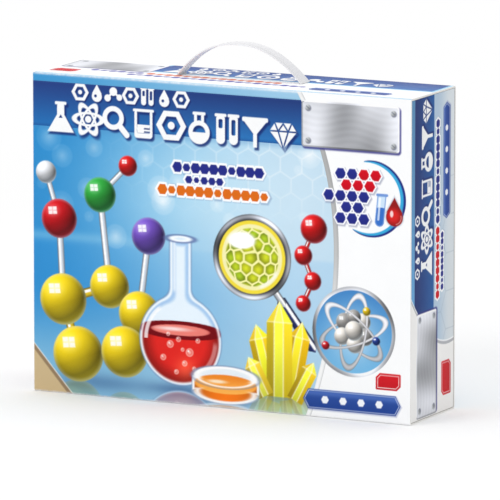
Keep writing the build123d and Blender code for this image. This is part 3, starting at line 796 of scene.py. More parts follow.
def blue_bar(p, low, high):
    """A bare blue bar with pointed ends and four white tiles."""
    x, y, hx, hy = p.panel(low, high)
    pointed = lambda x, y: np.maximum(np.abs(y) - hy, (np.abs(x) - hx + 0.55 * np.abs(y)) * 0.876)
    p.lay(0.35 * share(pointed(x - 0.8, y + 0.9), 1.6, -0.8), (0.30, 0.35, 0.60))
    d = pointed(x, y)
    tone = blend((0.14, 0.26, 0.56), (0.19, 0.32, 0.62), np.clip((y + hy) / (2 * hy), 0, 1))
    p.fill(d, tone + (0.10 * near(y - 0.62 * hy, 0.30 * hy))[..., None])
    p.fill(np.abs(d + 1.3) - 0.3, (0.93, 0.95, 0.99), FINE, 0.8)
    for spot in (-0.55, -0.18, 0.19, 0.56):
        p.fill(hexagon(x - spot * hx, y, 0.42 * hy), (0.95, 0.96, 0.98))


def tile_cluster(p, centre, pitch, cells):
    """A cluster of small six-sided tiles with white rims and a soft shadow."""
    for shadow in (True, False):
        for column, row, colour in cells:
            x, y = p.local((centre[0] + (column + 0.5 * (row % 2)) * pitch, centre[1] + row * pitch * SIN_60))
            if shadow:
                p.lay(0.45 * share(hexagon(x - 0.9, y + 1.1, 0.62 * pitch), 1.4, -0.8), (0.40, 0.42, 0.55))
            else:
                p.fill(hexagon(x, y, 0.60 * pitch), (0.99, 0.99, 1.0))
                p.fill(hexagon(x, y, 0.47 * pitch), tinted(1.0 + 0.12 * np.clip(y / pitch, -1, 1), colour))


def bead_line(p, start, pitch, count, level, radius, colour, rim=True):
    """A line of small beads, joined by a thin stroke."""
    x, y = p.local((start, level))
    k = np.clip(np.round(x / pitch), 0, count - 1)
    half = (count - 1) * pitch / 2
    size = radius * np.where(np.mod(k, 3) == 1, 0.72, 1.0)
    d = union(np.hypot(x - k * pitch, y) - size, box(x - half, y, half, radius * 0.30))
    if rim:
        p.lay(share(d, 1.7, 1.0), (0.97, 0.98, 1.0))
    p.fill(d, colour, FINE)


def tile_row(p, start, pitch, count, level, size, colour):
    """A row of large and small six-sided tiles with white rims and soft shadows."""
    x, y = p.local((start, level))
    k = np.clip(np.round(x / pitch), 0, count - 1)
    x = x - k * pitch
    large = size * np.where(np.mod(k * 2, 5) == 2, 0.40, 0.52)
    p.lay(0.35 * share(hexagon(x - 0.6, y + 0.8, size * 0.62), 1.6, -0.4), (0.35, 0.45, 0.62))
    tile = hexagon(x, y, 1.0)
    p.fill(tile - large - 0.1, (0.98, 0.985, 0.99))
    p.fill(tile - large * SIN_60 + 1.2, colour, FINE)


ARC_HEIGHTS = (-1, 0, 51, 110, 171, 197, 256, 310, 312)
ARC_FIT = np.polyfit(ARC_HEIGHTS, (92.6, 93.1, 109.5, 118.6, 122.7, 121.1, 107.4, 83.3, 82.0), 4)
STRIP_LOW, BAND_LOW = 301.7, 258.6


def arc_edge(v):
    """Where the picture ends and the white field starts, for each height."""
    return np.polyval(ARC_FIT, v)


# ---- The faces. Each takes places across and up, and gives their colours ----
def front_strip(u, v):
    """The pale strip along the front's upper fold, made lighter on the fold as a painted highlight."""
    p = Picture(u, v, blend((0.235, 0.575, 0.80), (0.62, 0.79, 0.90), share(u, -215, 110) ** 0.8))
    # Painted highlight: the strip is lighter where it rolls over the upper fold.
    p.glow(0.22 * share(v, 306, 309.8))
    p.lay(0.25 * share(v, 303.2, STRIP_LOW), (0.30, 0.50, 0.66))
    return p.rgb


def front_band(u, v):
    """The dark band with the title's signs."""
    t = np.clip((STRIP_LOW - v) / (STRIP_LOW - BAND_LOW), 0, 1)
    p = Picture(u, v, blend((0.15, 0.245, 0.50), (0.15, 0.44, 0.71), t))
    s = share(u, -200, 80)
    p.rgb = p.rgb * (1.0 - 0.06 * (1 - t) * s)[..., None] + (0.03 * t * s)[..., None]
    p.lay(0.45 * share(v, 262.5, BAND_LOW), (0.13, 0.28, 0.52))
    p.lay(0.30 * share(v, 299.5, STRIP_LOW), (0.25, 0.36, 0.60))
    title_signs(p)
    field_prints(p)
    return p.rgb


def front_left(u, v):
    """The picture below the band, with three rows of tiles and a card corner."""
    p = Picture(u, v, 0)
    front_picture(p)
    p.lay(0.30 * share(v, 252, BAND_LOW), (0.32, 0.55, 0.76))
    tile_row(p, -45, 9.6, 10, 229, 11.5, INK_NAVY)
    tile_row(p, -33, 8.2, 5, 217.5, 8.6, INK_NAVY)
    tile_row(p, -61, 9.8, 12, 206.5, 11.5, INK_ORANGE)
    corner = (u + 200) * 0.745 + v * 0.667
    for reach, colour in ((32.0, (0.93, 0.92, 0.90)), (31.2, (0.58, 0.49, 0.38)), (27.6, (0.79, 0.70, 0.54))):
        p.fill(corner - reach, colour)
    title_signs(p)
    field_prints(p)
    return p.rgb


ORBITS = ((20, 200, (0.82, 0.12, 0.15)), (80, 310, (0.95, 0.80, 0.12)), (140, 230, (0.16, 0.26, 0.60)))
ORBIT_HALF = (35.0, 12.5)
GREY_BALL, PALE_BALL = (0.66, 0.65, 0.64), (0.93, 0.91, 0.88)
CORE = ((-10, 9, 8.5, GREY_BALL), (9, 10, 8.5, PALE_BALL), (0, 14, 7.5, GREY_BALL), (-12, -5, 8.5, PALE_BALL),
        (12, -4, 8.5, GREY_BALL), (1, -12, 8.5, PALE_BALL), (0, 1, 9.5, PALE_BALL))


def window(p, centre, radius):
    """A round window with a silver rim: an atom of grey and white balls with three rings about it."""
    cx, cy = centre
    x, y = p.local(centre)
    d = np.hypot(x, y) - radius
    p.fill(d, blend((0.42, 0.70, 0.88), (0.24, 0.50, 0.76), np.clip((y + radius) / (2 * radius), 0, 1)))
    p.limit = np.clip(0.5 - d / 0.7, 0, 1)
    p.glow(0.55 * near(x, 26) * near(y + 4, 26), (0.9, 0.97, 1.0))

    def orbits(front):
        for degrees, _, _ in ORBITS:
            along, across = turned(x, y, degrees)
            reach = (np.hypot(along / ORBIT_HALF[0], across / ORBIT_HALF[1]) - 1) * 13.0
            half = across < 0 if front else across >= 0
            shade = np.clip(0.86 - 0.28 * (reach / 1.2) ** 2 + 0.1 * along / ORBIT_HALF[0], 0, 1)
            p.fill(np.abs(reach) - 1.15, tinted(shade, (1.0, 1.0, 1.02)), 0.7, half)

    orbits(False)
    for bx, by, size, tone in CORE:
        p.ball((cx + bx, cy + by), size, tone)
    orbits(True)
    for degrees, place, tone in ORBITS:
        b = math.radians(place)
        bx, by = turned(ORBIT_HALF[0] * math.cos(b), ORBIT_HALF[1] * math.sin(b), -degrees)
        p.ball((cx + bx, cy + by), 4.2, tone)
    p.limit = 1.0
    turn = np.arctan2(y, x)
    metal = 0.70 + 0.20 * np.cos(2 * turn + 2.4) + 0.10 * np.cos(5 * turn) - 0.10 * d / 1.8
    p.fill(np.abs(d) - 1.8, np.clip(tinted(metal, (0.98, 0.99, 1.02)), 0, 0.97))


def ring_stroke(p, centre, radius):
    """An open ring, cyan inside and navy outside, thin at its ends."""
    x, y = p.local(centre)
    way_round = np.clip((np.degrees(np.arctan2(y, x)) + 120) / 220, 0, 1)
    width = 2.9 * np.sin(np.pi * way_round) ** 0.5 * (way_round > 0) * (way_round < 1)
    d = np.hypot(x, y) - radius
    tone = blend((0.22, 0.66, 0.86), (0.12, 0.16, 0.48), share(d / np.maximum(width, 0.1), -0.2, 0.6))
    p.fill(np.abs(d) - width, tone, 0.7, width > 0.05)


def small_wares(p):
    """A blue test tube and a red drop."""
    rim = (0.45, 0.60, 0.85)
    tube = np.maximum(segment(p.u, p.v, (167.4, 192), (170.2, 219), 4.6), p.v - 217)
    p.fill(tube, (0.80, 0.89, 0.97))
    p.fill(tube, (0.22, 0.44, 0.78), 0.7, share(p.v, 205.6, 204.4))
    p.fill(np.abs(tube + 0.5) - 0.5, rim, FINE, 0.85)
    p.glow(0.7 * share(segment(p.u, p.v, (166.2, 194), (168.0, 214), 0.9), 0.6, -0.3))
    p.fill(box(p.u - 170.2, p.v - 217.4, 6.2, 1.3, 1.2), rim)
    x, y = p.local((183, 202), 29)
    d = drop_outline(x, y) * 29
    p.lay(0.4 * share(d, 2.2, 0.0), (0.55, 0.60, 0.70))
    p.fill(d, tinted(1.08 - 0.35 * share(np.hypot(x + 0.04, y + 0.12), 0.1, 0.36), (0.78, 0.14, 0.14)))
    p.glow(0.8 * share(np.hypot((x + 0.10) / 0.07, (y + 0.06) / 0.13), 1.1, 0.6))
    p.glow(0.5 * near(np.hypot(x, y + 0.16) - 0.24, 0.02) * (x > 0.05) * (y < -0.1), (1, 0.9, 0.9))


def field_prints(p):
    """What stands on the white field. Some of it reaches over the silver arc onto the picture."""
    if p.u.max() < 80:
        return
    ring_stroke(p, (157, 213.4), 35.0)
    rows = ((2, (-1, 0), INK_NAVY), (2, (1, 2), INK_RED), (1, (-1, 0, 1), INK_RED), (0, (-2, -1, 0, 1), INK_NAVY),
            (-1, (-1, 0), INK_NAVY), (-2, (-1, 0, 1), INK_NAVY))
    tile_cluster(p, (139, 214), 12.2, [(column, row, ink) for row, columns, ink in rows for column in columns])
    small_wares(p)
    window(p, (141, 85), 41.5)
    steel_plate(p, (86, 258), (188, 302))
    tag(p, (164, 32), (190, 48))
    blue_bar(p, (88, 8), (190, 27))


def front_field(u, v):
    """The white field to the right of the arc."""
    p = Picture(u, v, (0.975, 0.978, 0.982))
    field_prints(p)
    return p.rgb


ARC_LEVELS = (0, 40, 95, 150, 215, 255, 272, 292, 310)
ARC_SILVER = (0.93, 0.93, 0.88, 0.74, 0.67, 0.66, 0.80, 0.95, 0.88)


def front_arc(u, v):
    """The silver arc between the picture and the field, bright and dark by turns along its length."""
    across = u - arc_edge(v)
    silver = np.interp(v, ARC_LEVELS, ARC_SILVER) * (1 + 0.05 * share(np.abs(across + 0.6), 2.0, 0.2))
    p = Picture(u, v, tinted(silver, (0.995, 0.998, 1.0)))
    p.lay(0.5 * share(across, 1.3, 2.6), (0.64, 0.65, 0.67))
    field_prints(p)
    return p.rgb


END_ARC_FIT = np.polyfit((-51, -20, 20, 49), (70, 72, 90, 123), 2)


def end_art(y_place, z_place):
    """The end of the case. It reads from the bottom up, so its own axes lie along the height and the depth."""
    p = Picture(z_place, -y_place, (0.84, 0.87, 0.89))
    u, v = p.u, p.v
    p.rgb = p.rgb + (share(u, 60, 300) * 0.025)[..., None]
    p.lay(share(v, -39, -7), (0.70, 0.785, 0.865))
    lines = honeycomb_lines(p, (80, -8), 21.0, range(-6, 3), range(-1, 9), 1.0)
    p.lay(0.24 * lines * share(u, 290, 200), (0.48, 0.56, 0.64))
    band_top = 39.6
    p.fill(band_top - v, tinted(1 - 0.15 * share(u, 60, 310), (0.42, 0.66, 0.86)), FINE)
    tone = blend((0.13, 0.20, 0.43), (0.16, 0.37, 0.63), np.clip((band_top - v) / 42, 0, 1))
    p.fill(np.maximum(-2.4 - v, v - band_top), tone, FINE)
    sign_row(p, (ring, drop, chain, drop, ring), 142, 12.6, 33.6, 11.0)
    sign_row(p, (flask, atom, lens, cup, bulb, funnel, gem), 148, 24.4, 13.2, 25.5)
    tile_row(p, 116, 7.6, 9, -10.8, 9.2, INK_RED)
    tile_row(p, 188, 7.6, 13, -10.8, 9.2, INK_NAVY)
    tile_row(p, 122, 6.2, 9, -20.8, 7.2, INK_NAVY)
    blue_bar(p, (186, -38.0), (297, -22.5))
    below = u - np.polyval(END_ARC_FIT, v)
    p.fill(below, (0.955, 0.952, 0.945), FINE)
    p.fill(np.abs(below + 1.6) - 1.7, (0.70, 0.71, 0.73), FINE)
    p.fill(np.abs(below - 0.2) - 0.7, (0.95, 0.96, 0.97), FINE)
    steel_plate(p, (3, -9), (103, 35))
    tag(p, (17, -41), (50, -20))
    return p.rgb


def left_end_art(u, v):
    """The left end shows the right end's art, seen from its own side."""
    return end_art(-u, v)


def top_art(u, v):
    """The top: white, with a dark band, rows of signs and beads, and a steel plate."""
    p = Picture(u, v, (0.972, 0.975, 0.98))
    d = common(-96 - u - 0.35 * (47 - v), 4 - v, u - 196)
    p.fill(d - 3.2, (0.62, 0.82, 0.93))
    p.fill(d, blend((0.17, 0.28, 0.55), (0.24, 0.45, 0.72), np.clip((49 - v) / 45, 0, 1)))
    sign_row(p, (drop, ring, chain, tubes, ring, drop), -60, 15.5, 38.5, 14.0)
    sign_row(p, (flask, atom, lens, cup, ring, bulb, chain, tubes, funnel, gem), -78, 24.0, 18.0, 24.0)
    navy = (0.30, 0.30, 0.66)
    bead_line(p, -152, 9.6, 6, -12.0, 4.0, navy, rim=False)
    bead_line(p, -92, 9.6, 15, -12.0, 4.3, (0.86, 0.34, 0.10), rim=False)
    bead_line(p, -108, 9.6, 20, -23.0, 4.0, navy, rim=False)
    steel_plate(p, (-194, -3), (-99, 42))
    tag(p, (-191, -33), (-165, -15))
    blue_bar(p, (84, -36), (170, -22))
    p.fill(v + 46.2, (0.62, 0.80, 0.91), 0.8)
    return p.rgb


def badge(p, centre, radius, rim_half, rim_colour, soft, sign, size, ink):
    """A white disc with a coloured rim, a soft shadow and one sign."""
    cx, cy = centre
    p.lay(0.35 * share(p.disc((cx + 1.5, cy - 2), radius + 0.5), 3.0, -1.0), (0.25, 0.40, 0.62))
    d = p.disc(centre, radius)
    p.fill(d, (0.985, 0.987, 0.99), soft)
    p.fill(np.abs(d) - rim_half, rim_colour, soft)
    sign_row(p, (sign,), cx, 1, cy, size, ink, (0.72, 0.78, 0.86), 0.6, 0.04)


BADGES = (flask, tubes, funnel, cup, lens, bulb, atom, gem)
BADGE_INKS = ((0.80, 0.12, 0.15), (0.20, 0.58, 0.28), (0.86, 0.42, 0.10), (0.16, 0.28, 0.60))


def back_art(u, v):
    """The back: the band and strip go round, over pale blue with two rows of wares in white discs."""
    p = Picture(u, v, blend((0.62, 0.82, 0.93), (0.90, 0.95, 0.98), share(u, -230, 210)))
    p.rgb = p.rgb * (0.94 + 0.06 * share(v, 0, 260))[..., None]
    for k, sign in enumerate(BADGES):
        centre = (-140 + 74 * (k % 4), 186 - 78 * (k // 4))
        badge(p, centre, 29, 1.1, (0.22, 0.50, 0.76), SOFT, sign, 38, BADGE_INKS[k % 4])
    for count, level, ink in ((34, 58, INK_NAVY), (26, 45, INK_ORANGE), (30, 32, INK_NAVY)):
        bead_line(p, -166, 8.0, count, level, 2.6, ink)
    band_low = 243.7
    tone = blend((0.17, 0.25, 0.49), (0.20, 0.46, 0.72), np.clip((STRIP_LOW - v) / (STRIP_LOW - band_low), 0, 1))
    p.fill(band_low - v, tone, SOFT)
    p.fill(STRIP_LOW - v, (0.45, 0.73, 0.89), SOFT)
    title_signs(p)
    edge = u - (152 - 0.0009 * (v - 150) ** 2)
    p.fill(-edge, (0.975, 0.978, 0.982), SOFT)
    p.fill(np.abs(edge) - 2.0, (0.74, 0.75, 0.78), SOFT)
    tag(p, (166, 270), (192, 288))
    blue_bar(p, (160, 8), (194, 20))
    return p.rgb


def booklet_art(u, v):
    """The booklet's cover: the case's band again, over pale blue, with one large sign."""
    p = Picture(u, v, blend((0.86, 0.93, 0.97), (0.42, 0.72, 0.90), share(v, 0, 171)))
    p.fill(138 - v, (0.17, 0.30, 0.58), FINE)
    sign_row(p, (drop, ring, chain, tubes, ring), 16, 20, 153, 17)
    badge(p, (56, 78), 36, 1.4, (0.16, 0.28, 0.60), 0.7, flask, 50, (0.80, 0.12, 0.15))
    bead_line(p, 12, 6.0, 16, 24, 2.2, INK_NAVY)
    bead_line(p, 12, 6.0, 11, 14, 2.2, INK_ORANGE)
    return p.rgb


# ---- Pieces and printed sheets ----
def new_piece(name, mesh, finish, stands_for=None, body="drawer"):
    """A piece that rides on a body. Its finish is a material and the name of a slot; the slot is not used."""
    piece = linked(name, mesh)
    mesh.materials.append(finish[0])
    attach(piece, body)
    if stands_for:
        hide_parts(stands_for)
    return piece


# The places of the printed sheets: (across, up, lift) on the flat print to a point of the case.
def round_fold(place, limit, lift):
    """Distance along a face that ends in a fold, as (how far along, how far out)."""
    turn = np.clip((np.abs(place) - (limit - FOLD)) / FOLD, 0, math.pi / 4)
    along = np.minimum(np.abs(place), limit - FOLD) + (FOLD + lift) * np.sin(turn)
    return np.sign(place) * along, (FOLD + lift) * np.cos(turn) - FOLD


def upright(u, v, lift, side):
    """The front, with side 1, or the back, with side -1: it rolls over both long folds."""
    middle = HEIGHT / 2
    along, out = round_fold(v - middle, middle, lift)
    return side * u, -side * (HALF_DEPTH + out), middle + along


def on_top(u, v, lift):
    """The top, which meets the front and the back half way round their folds."""
    along, out = round_fold(v, HALF_DEPTH, lift)
    return u, along, HEIGHT + out


booklet = Room("instruction_booklet")
FACES = {
    "front": ("carton", lambda u, v, w: upright(u, v, w, 1)),
    "back": ("carton", lambda u, v, w: upright(u, v, w, -1)),
    "top": ("carton", on_top),
    "right": ("drawer", lambda u, v, w: (right_end.high.x + w, u, v)),
    "left": ("end_flap", lambda u, v, w: (-HALF_LENGTH - w, -u, v)),
    "booklet": ("drawer", lambda u, v, w: (booklet.low.x + u, booklet.low.y - w, booklet.low.z + v)),
}
PRINTED = varnished()


def print_sheet(name, face, art, left, right, low, high, spacing, slot="printed_board"):
    """A thin printed sheet. left and right are places, or functions of the height."""
    body, place = FACES[face]
    left_of, right_of = (side if callable(side) else (lambda v, side=side: side + 0 * v) for side in (left, right))
    across = max(2, round((float(right_of(high)) - float(left_of(high))) / spacing))
    up = max(2, round((high - low) / spacing))
    s, v = np.meshgrid(np.linspace(0, 1, across + 1), np.linspace(low, high, up + 1))
    u, v = (left_of(v) + s * (right_of(v) - left_of(v))).ravel(), v.ravel()
    row, count = across + 1, u.size
    outer = np.stack(np.broadcast_arrays(*place(u, v, LAYER)), 1)
    corner = (np.arange(up)[:, None] * row + np.arange(across)[None, :]).ravel()
    faces = np.stack([corner, corner + 1, corner + row + 1, corner + row], 1).tolist()

    # The back of the sheet is one strip from side to side for each row, with the rim's points round it.
    first, last = np.arange(row), up * row + np.arange(row)
    left_side, right_side = np.arange(1, up) * row, np.arange(1, up) * row + across
    rim = np.concatenate([first, right_side, last[::-1], left_side[::-1]])
    behind = np.full(count, -1)
    behind[rim] = count + np.arange(rim.size)
    inner = np.stack(np.broadcast_arrays(*place(u[rim], v[rim], 0.0)), 1)
    ahead = np.roll(rim, -1)
    faces += np.stack([rim, behind[rim], behind[ahead], ahead], 1).tolist()
    starts, ends = behind[np.arange(up + 1) * row], behind[np.arange(up + 1) * row + across]
    faces += np.stack([starts[1:-2], starts[2:-1], ends[2:-1], ends[1:-2]], 1).tolist()
    faces.append([int(k) for k in (*behind[first][::-1], starts[1], ends[1])])
    faces.append([int(k) for k in (*behind[last], ends[-2], starts[-2])])

    mesh = bpy.data.meshes.new(name)
    mesh.from_pydata((np.concatenate([outer, inner]) * MM).tolist(), [], faces)
    tint = np.ones((len(mesh.vertices), 4))
    tint[:count, :3] = linear(np.clip(art(u[None, :], v[None, :])[0], 0, 1))
    tint[count:, :3] = tint[rim, :3]
    attribute = mesh.color_attributes.new("print", "FLOAT_COLOR", "POINT")
    attribute.data.foreach_set("color", tint.astype(np.float32).ravel())
    mesh.shade_smooth()
    mesh.set_sharp_from_angle(angle=math.radians(40))
    new_piece(name, mesh, (PRINTED, slot), body=body)


ARC_HALF, EDGE = 2.6, 0.12
SPLIT, BACK_SIDE = -40.0, HALF_LENGTH - 1.7
LOW_END = FOLD * (1 - math.pi / 4)
TOP_END, TOP_HALF, SIDE = HEIGHT - LOW_END, HALF_DEPTH - LOW_END, HALF_LENGTH - EDGE
picture_end = lambda v: arc_edge(v) - ARC_HALF
field_start = lambda v: arc_edge(v) + ARC_HALF
for name, face, art, left, right, low, high, spacing in (
    ("front_picture_left", "front", front_left, -SIDE, SPLIT, LOW_END, BAND_LOW, 0.70),
    ("front_picture_right", "front", front_left, SPLIT, picture_end, LOW_END, BAND_LOW, 0.70),
    ("front_band", "front", front_band, -SIDE, picture_end, BAND_LOW, STRIP_LOW, 0.60),
    ("front_strip", "front", front_strip, -SIDE, picture_end, STRIP_LOW, TOP_END, 0.62),
    ("front_arc", "front", front_arc, picture_end, field_start, LOW_END, TOP_END, 0.62),
    ("front_field", "front", front_field, field_start, SIDE, LOW_END, TOP_END, 0.62),
    ("right_end_print", "right", end_art, -right_end.high.y + EDGE, right_end.high.y - EDGE,
     right_end.low.z + EDGE, right_end.high.z - EDGE, 0.60),
    ("left_end_print", "left", left_end_art, -left_flap.high.y + EDGE, -left_flap.low.y - EDGE,
     left_flap.low.z + EDGE, left_flap.high.z - EDGE, 0.62),
):
    print_sheet(name, face, art, left, right, low, high, spacing)

# The top's print leaves the two slots of the strap open.
SLOT_X, SLOT_HALF_X, SLOT_HALF_Y = 65.0, 1.8, 9.8
slot_sides = [side * SLOT_X + out for side in (-1, 1) for out in (-SLOT_HALF_X, SLOT_HALF_X)]
breaks = [Room("top_panel").low.x + EDGE, *slot_sides, SIDE]
for k, (start, end) in enumerate(zip(breaks, breaks[1:])):
    beside_slot = (("_front", -TOP_HALF, -SLOT_HALF_Y), ("_rear", SLOT_HALF_Y, TOP_HALF))
    for part, low, high in beside_slot if k % 2 else (("", -TOP_HALF, TOP_HALF),):
        print_sheet(f"top_print_{k}{part}", "top", top_art, start, end, low, high, 0.70)
print_sheet("back_print", "back", back_art, -SIDE, BACK_SIDE, LOW_END, TOP_END, 1.15)

# ---- Board of the sleeve, the flaps and the tray ----
WHITE_CUT = ((0.88, 0.875, 0.86), (0.96, 0.955, 0.945))
GREY_CUT = ((0.66, 0.62, 0.56), (0.82, 0.79, 0.74))
COATED, BARE, TRAY = (0.955, 0.958, 0.962), (0.83, 0.82, 0.80), (0.93, 0.93, 0.925)


def dress(material, *names):
    """Give CAD nodes that stay their own material."""
    for name in names:
        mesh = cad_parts[name].data
        mesh.materials.clear()
        mesh.materials.append(material)


dress(board("white_lined_board", COATED, BARE, WHITE_CUT), "front_panel", "back_panel", "top_panel", "bottom_panel",
      "glue_seam_flap", "top_doubler", "left_tuck_tongue")
dress(board("flap_board", COATED, BARE, WHITE_CUT, cut_from=0.8, cut_to=0.6), "left_end_flap", "top_dust_flap",
      "bottom_dust_flap", "drawer_right_end")
dress(board("tray_sheet", TRAY, TRAY, GREY_CUT, 0.7, "Z"), "drawer_floor")
dress(board("tray_board", TRAY, TRAY, GREY_CUT, 0.7, "Y"), "drawer_bottom_wall", "drawer_left_end", "drawer_top_wall",
      "divider_left", "divider_right", "shelf_left", "shelf_middle", "shelf_right")


# ---- Ways to make meshes. Their places are in millimetres ----
def loft(rings, closed=False, bm=None):
    """A skin over rings of points, closed on itself or with a cap at each end. A ring may be one point."""
    if bm is None:
        bm = bmesh.new()
    rings = [[bm.verts.new(Vector(point) * MM) for point in ring] for ring in rings]
    for first, second in zip(rings, rings[1:] + rings[:closed]):
        size = max(len(first), len(second))
        for k in range(size):
            places = ((first, k), (first, k + 1), (second, k + 1), (second, k))
            corners = list(dict.fromkeys(ring[at % size % len(ring)] for ring, at in places))
            if len(corners) > 2:
                bm.faces.new(corners)
    for ring in () if closed else (rings[0][::-1], rings[-1]):
        if len(ring) > 2:
            bm.faces.new(ring)
    return bm


def block(bm, centre, size):
    """A plain bar or leaf, one of many in a piece."""
    verts = bmesh.ops.create_cube(bm, size=1.0)["verts"]
    for vertex in verts:
        vertex.co = (Vector(centre) + vertex.co * Vector(size)) * MM
    return verts


def meshed(bm, name, finish, stands_for=None, sharp=35, body="drawer"):
    """A piece from a finished bmesh, smooth but for its sharp edges."""
    bmesh.ops.remove_doubles(bm, verts=bm.verts, dist=1e-7)
    bmesh.ops.recalc_face_normals(bm, faces=bm.faces)
    mesh = bpy.data.meshes.new(name)
    bm.to_mesh(mesh)
    bm.free()
    mesh.shade_smooth()
    mesh.set_sharp_from_angle(angle=math.radians(sharp))
    return new_piece(name, mesh, finish, stands_for, body)


def softened(points, radius, closed=False, count=5):
    """A line of points with its corners rounded. A third number in a point is that corner's own radius."""
    result = []
    total = len(points)
    for k, point in enumerate(points):
        here = Vector(point[:2])
        own = point[2] if len(point) > 2 else radius
        if own == 0 or (not closed and k in (0, total - 1)):
            result.append(tuple(here))
            continue
        before, after = (Vector(points[near_by % total][:2]) - here for near_by in (k - 1, k + 1))
        cut = min(own, 0.48 * before.length, 0.48 * after.length)
        start, end = here + before.normalized() * cut, here + after.normalized() * cut
        for t in (i / count for i in range(count + 1)):
            result.append(tuple(start * (1 - t) ** 2 + here * 2 * t * (1 - t) + end * t * t))
    return result


def refine(profile, step):
    """The same profile with points no further apart than a step."""
    result = [profile[0]]
    for a, b in zip(profile, profile[1:]):
        count = max(1, math.ceil(math.dist(a, b) / step))
        result += [(a[0] + (b[0] - a[0]) * k / count, a[1] + (b[1] - a[1]) * k / count) for k in range(1, count + 1)]
    return result


def polar(radius, turn, height, lying=False):
    """A point at a radius, a turn and a height, about an upright axis or one that lies along X."""
    a, b = radius * math.cos(turn), radius * math.sin(turn)
    return Vector((height, a, b) if lying else (a, b, height))


def lathe(name, profile, origin, finish, stands_for=None, lying=False, closed=False, segments=64, ripple=None):
    """A turned form, upright or lying along X. The profile is (radius, height) from axis to axis, or a closed loop.

    ripple is a function of (turn, height) that gives what is added to the radius.
    """
    turns = [2 * math.pi * k / segments for k in range(segments)]
    rings = []
    for radius, height in profile:
        around = turns if radius > 1e-6 else [0.0]
        added = ripple if ripple and len(around) > 1 else (lambda turn, height: 0)
        rings.append([Vector(origin) + polar(radius + added(turn, height), turn, height, lying) for turn in around])
    return meshed(loft(rings, closed), name, finish, stands_for)


def slab(name, outline, holes, plane, thickness, finish, stands_for, bevel=0.5):
    """A flat plate with rounded edges. plane maps (across, up, out) to a point."""
    curve = bpy.data.curves.new(name, "CURVE")
    curve.dimensions = "2D"
    curve.fill_mode = "BOTH"
    curve.extrude = (thickness / 2 - bevel) * MM
    curve.bevel_depth = bevel * MM
    curve.bevel_resolution = 3
    curve.offset = -bevel * MM
    for loop in (outline, *holes):
        spline = curve.splines.new("POLY")
        spline.points.add(len(loop) - 1)
        for place, (u, v) in zip(spline.points, loop):
            place.co = (u * MM, v * MM, 0, 1)
        spline.use_cyclic_u = True
    shape = linked(name + "_outline", curve)
    flat = bpy.data.meshes.new_from_object(shape.evaluated_get(bpy.context.evaluated_depsgraph_get()))
    bpy.data.objects.remove(shape)
    bm = bmesh.new()
    bm.from_mesh(flat)
    bpy.data.meshes.remove(flat)
    for vertex in bm.verts:
        vertex.co = Vector(plane(*(vertex.co / MM))) * MM
    meshed(bm, name, finish, stands_for, 30)


def turn_points(centre, radius, start, end, count):
    """Points along an arc, from one angle to another in degrees."""
    turns = np.radians(np.linspace(start, end, count))
    return [(centre[0] + radius * math.cos(a), centre[1] + radius * math.sin(a)) for a in turns]


def circle(centre, radius, count):
    return turn_points(centre, radius, 0, 360 * (1 - 1 / count), count)


def rounded_box(low, high, radius, count=8):
    places = ((high[0] - radius, high[1] - radius, 0), (low[0] + radius, high[1] - radius, 90),
              (low[0] + radius, low[1] + radius, 180), (high[0] - radius, low[1] + radius, 270))
    return [point for u, v, turn in places for point in turn_points((u, v), radius, turn, turn + 90, count)]


# ---- Strap handle ----
STRAP_RISE, STRAP_REACH, STRAP_HALF, STRAP_THICK = 33.5, 66.0, 9.0, 1.4
STRAP_POWERS, STRAP_STEPS, STRAP_PRESS = (2.5, 2.05), 120, 22.0
STRAP_SIDE = ((0.76, 0.72), (0.80, 1.0), (0.93, 1.0), (0.985, 0.75), (1.0, 0.35))


def make_strap(finish):
    """One bent strap from slot to slot, with a rounded section and a low rib along each side."""
    upper = [(-across, out) for across, out in STRAP_SIDE[::-1]] + list(STRAP_SIDE)
    section = [(side * a * STRAP_HALF, side * b * STRAP_THICK / 2) for side in (1, -1) for a, b in upper]
    rings = []
    for i in range(STRAP_STEPS + 1):
        x = 2 * i / STRAP_STEPS - 1
        x = math.copysign(abs(x) ** 0.92, x)
        power = STRAP_POWERS[x > 0]
        z = HEIGHT + STRAP_RISE * (1 - abs(x) ** power)
        slope = -math.copysign(power * STRAP_RISE * abs(x) ** (power - 1) / STRAP_REACH, x)
        normal = Vector((-slope, 0, 1)).normalized()
        rings.append([(x * STRAP_REACH + normal.x * b, a, z + normal.z * b) for a, b in section])
    strap = meshed(loft(rings), "strap_handle", finish, sharp=50, body="carton")
    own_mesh(strap)
    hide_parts("strap_grip", "strap_leg_left", "strap_leg_right")


def strap_finish():
    """Milky plastic with fine lines along it, painted whiter where it faces down and darker where it faces up, as
    painted light through the strip.
    """
    nodes = Nodes("strap_plastic")
    # Painted light and shade: faces that look down are painted whiter, faces that look up darker.
    painted_shade_facing_up = nodes.remap(nodes.split("Normal")["Z"], -0.25, 0.25)
    colour = nodes.mix(painted_shade_facing_up, rgba((0.985, 0.982, 0.985)), rgba((0.885, 0.885, 0.895)))
    nodes.set(Base_Color=nodes.vary(colour, 60.0, 0.012), Roughness=nodes.patchy(120.0, 0.40, 0.52))
    nodes.bump(nodes.waves(nodes.split()["Y"], 0.0012), 0.05, 0.0001)
    return nodes.set(Specular_IOR_Level=0.35)


strap_plastic = strap_finish()
make_strap((strap_plastic, "strap_plastic"))
dress(strap_plastic, "strap_anchor_left", "strap_anchor_right")


# ---- Contents of the tray. Every form takes its place and size from the node that it stands for ----
def woven(name, colour, stripe):
    """Elastic webbing: fine ribs across and threads along it."""
    nodes = Nodes(name)
    axes = nodes.split()
    weave = nodes.math("MULTIPLY", nodes.waves(axes["X"], 0.0011), nodes.waves(axes["Z"], 0.0016))
    tone = nodes.mix(nodes.remap(weave, -1.0, 1.0), rgba(colour), rgba(stripe))
    nodes.bump(weave, 0.5, 0.0003)
    nodes.set(Base_Color=nodes.vary(tone, 90.0, 0.06), Roughness=nodes.patchy(300.0, 0.72, 0.88))
    return nodes.set(Sheen_Weight=0.3)


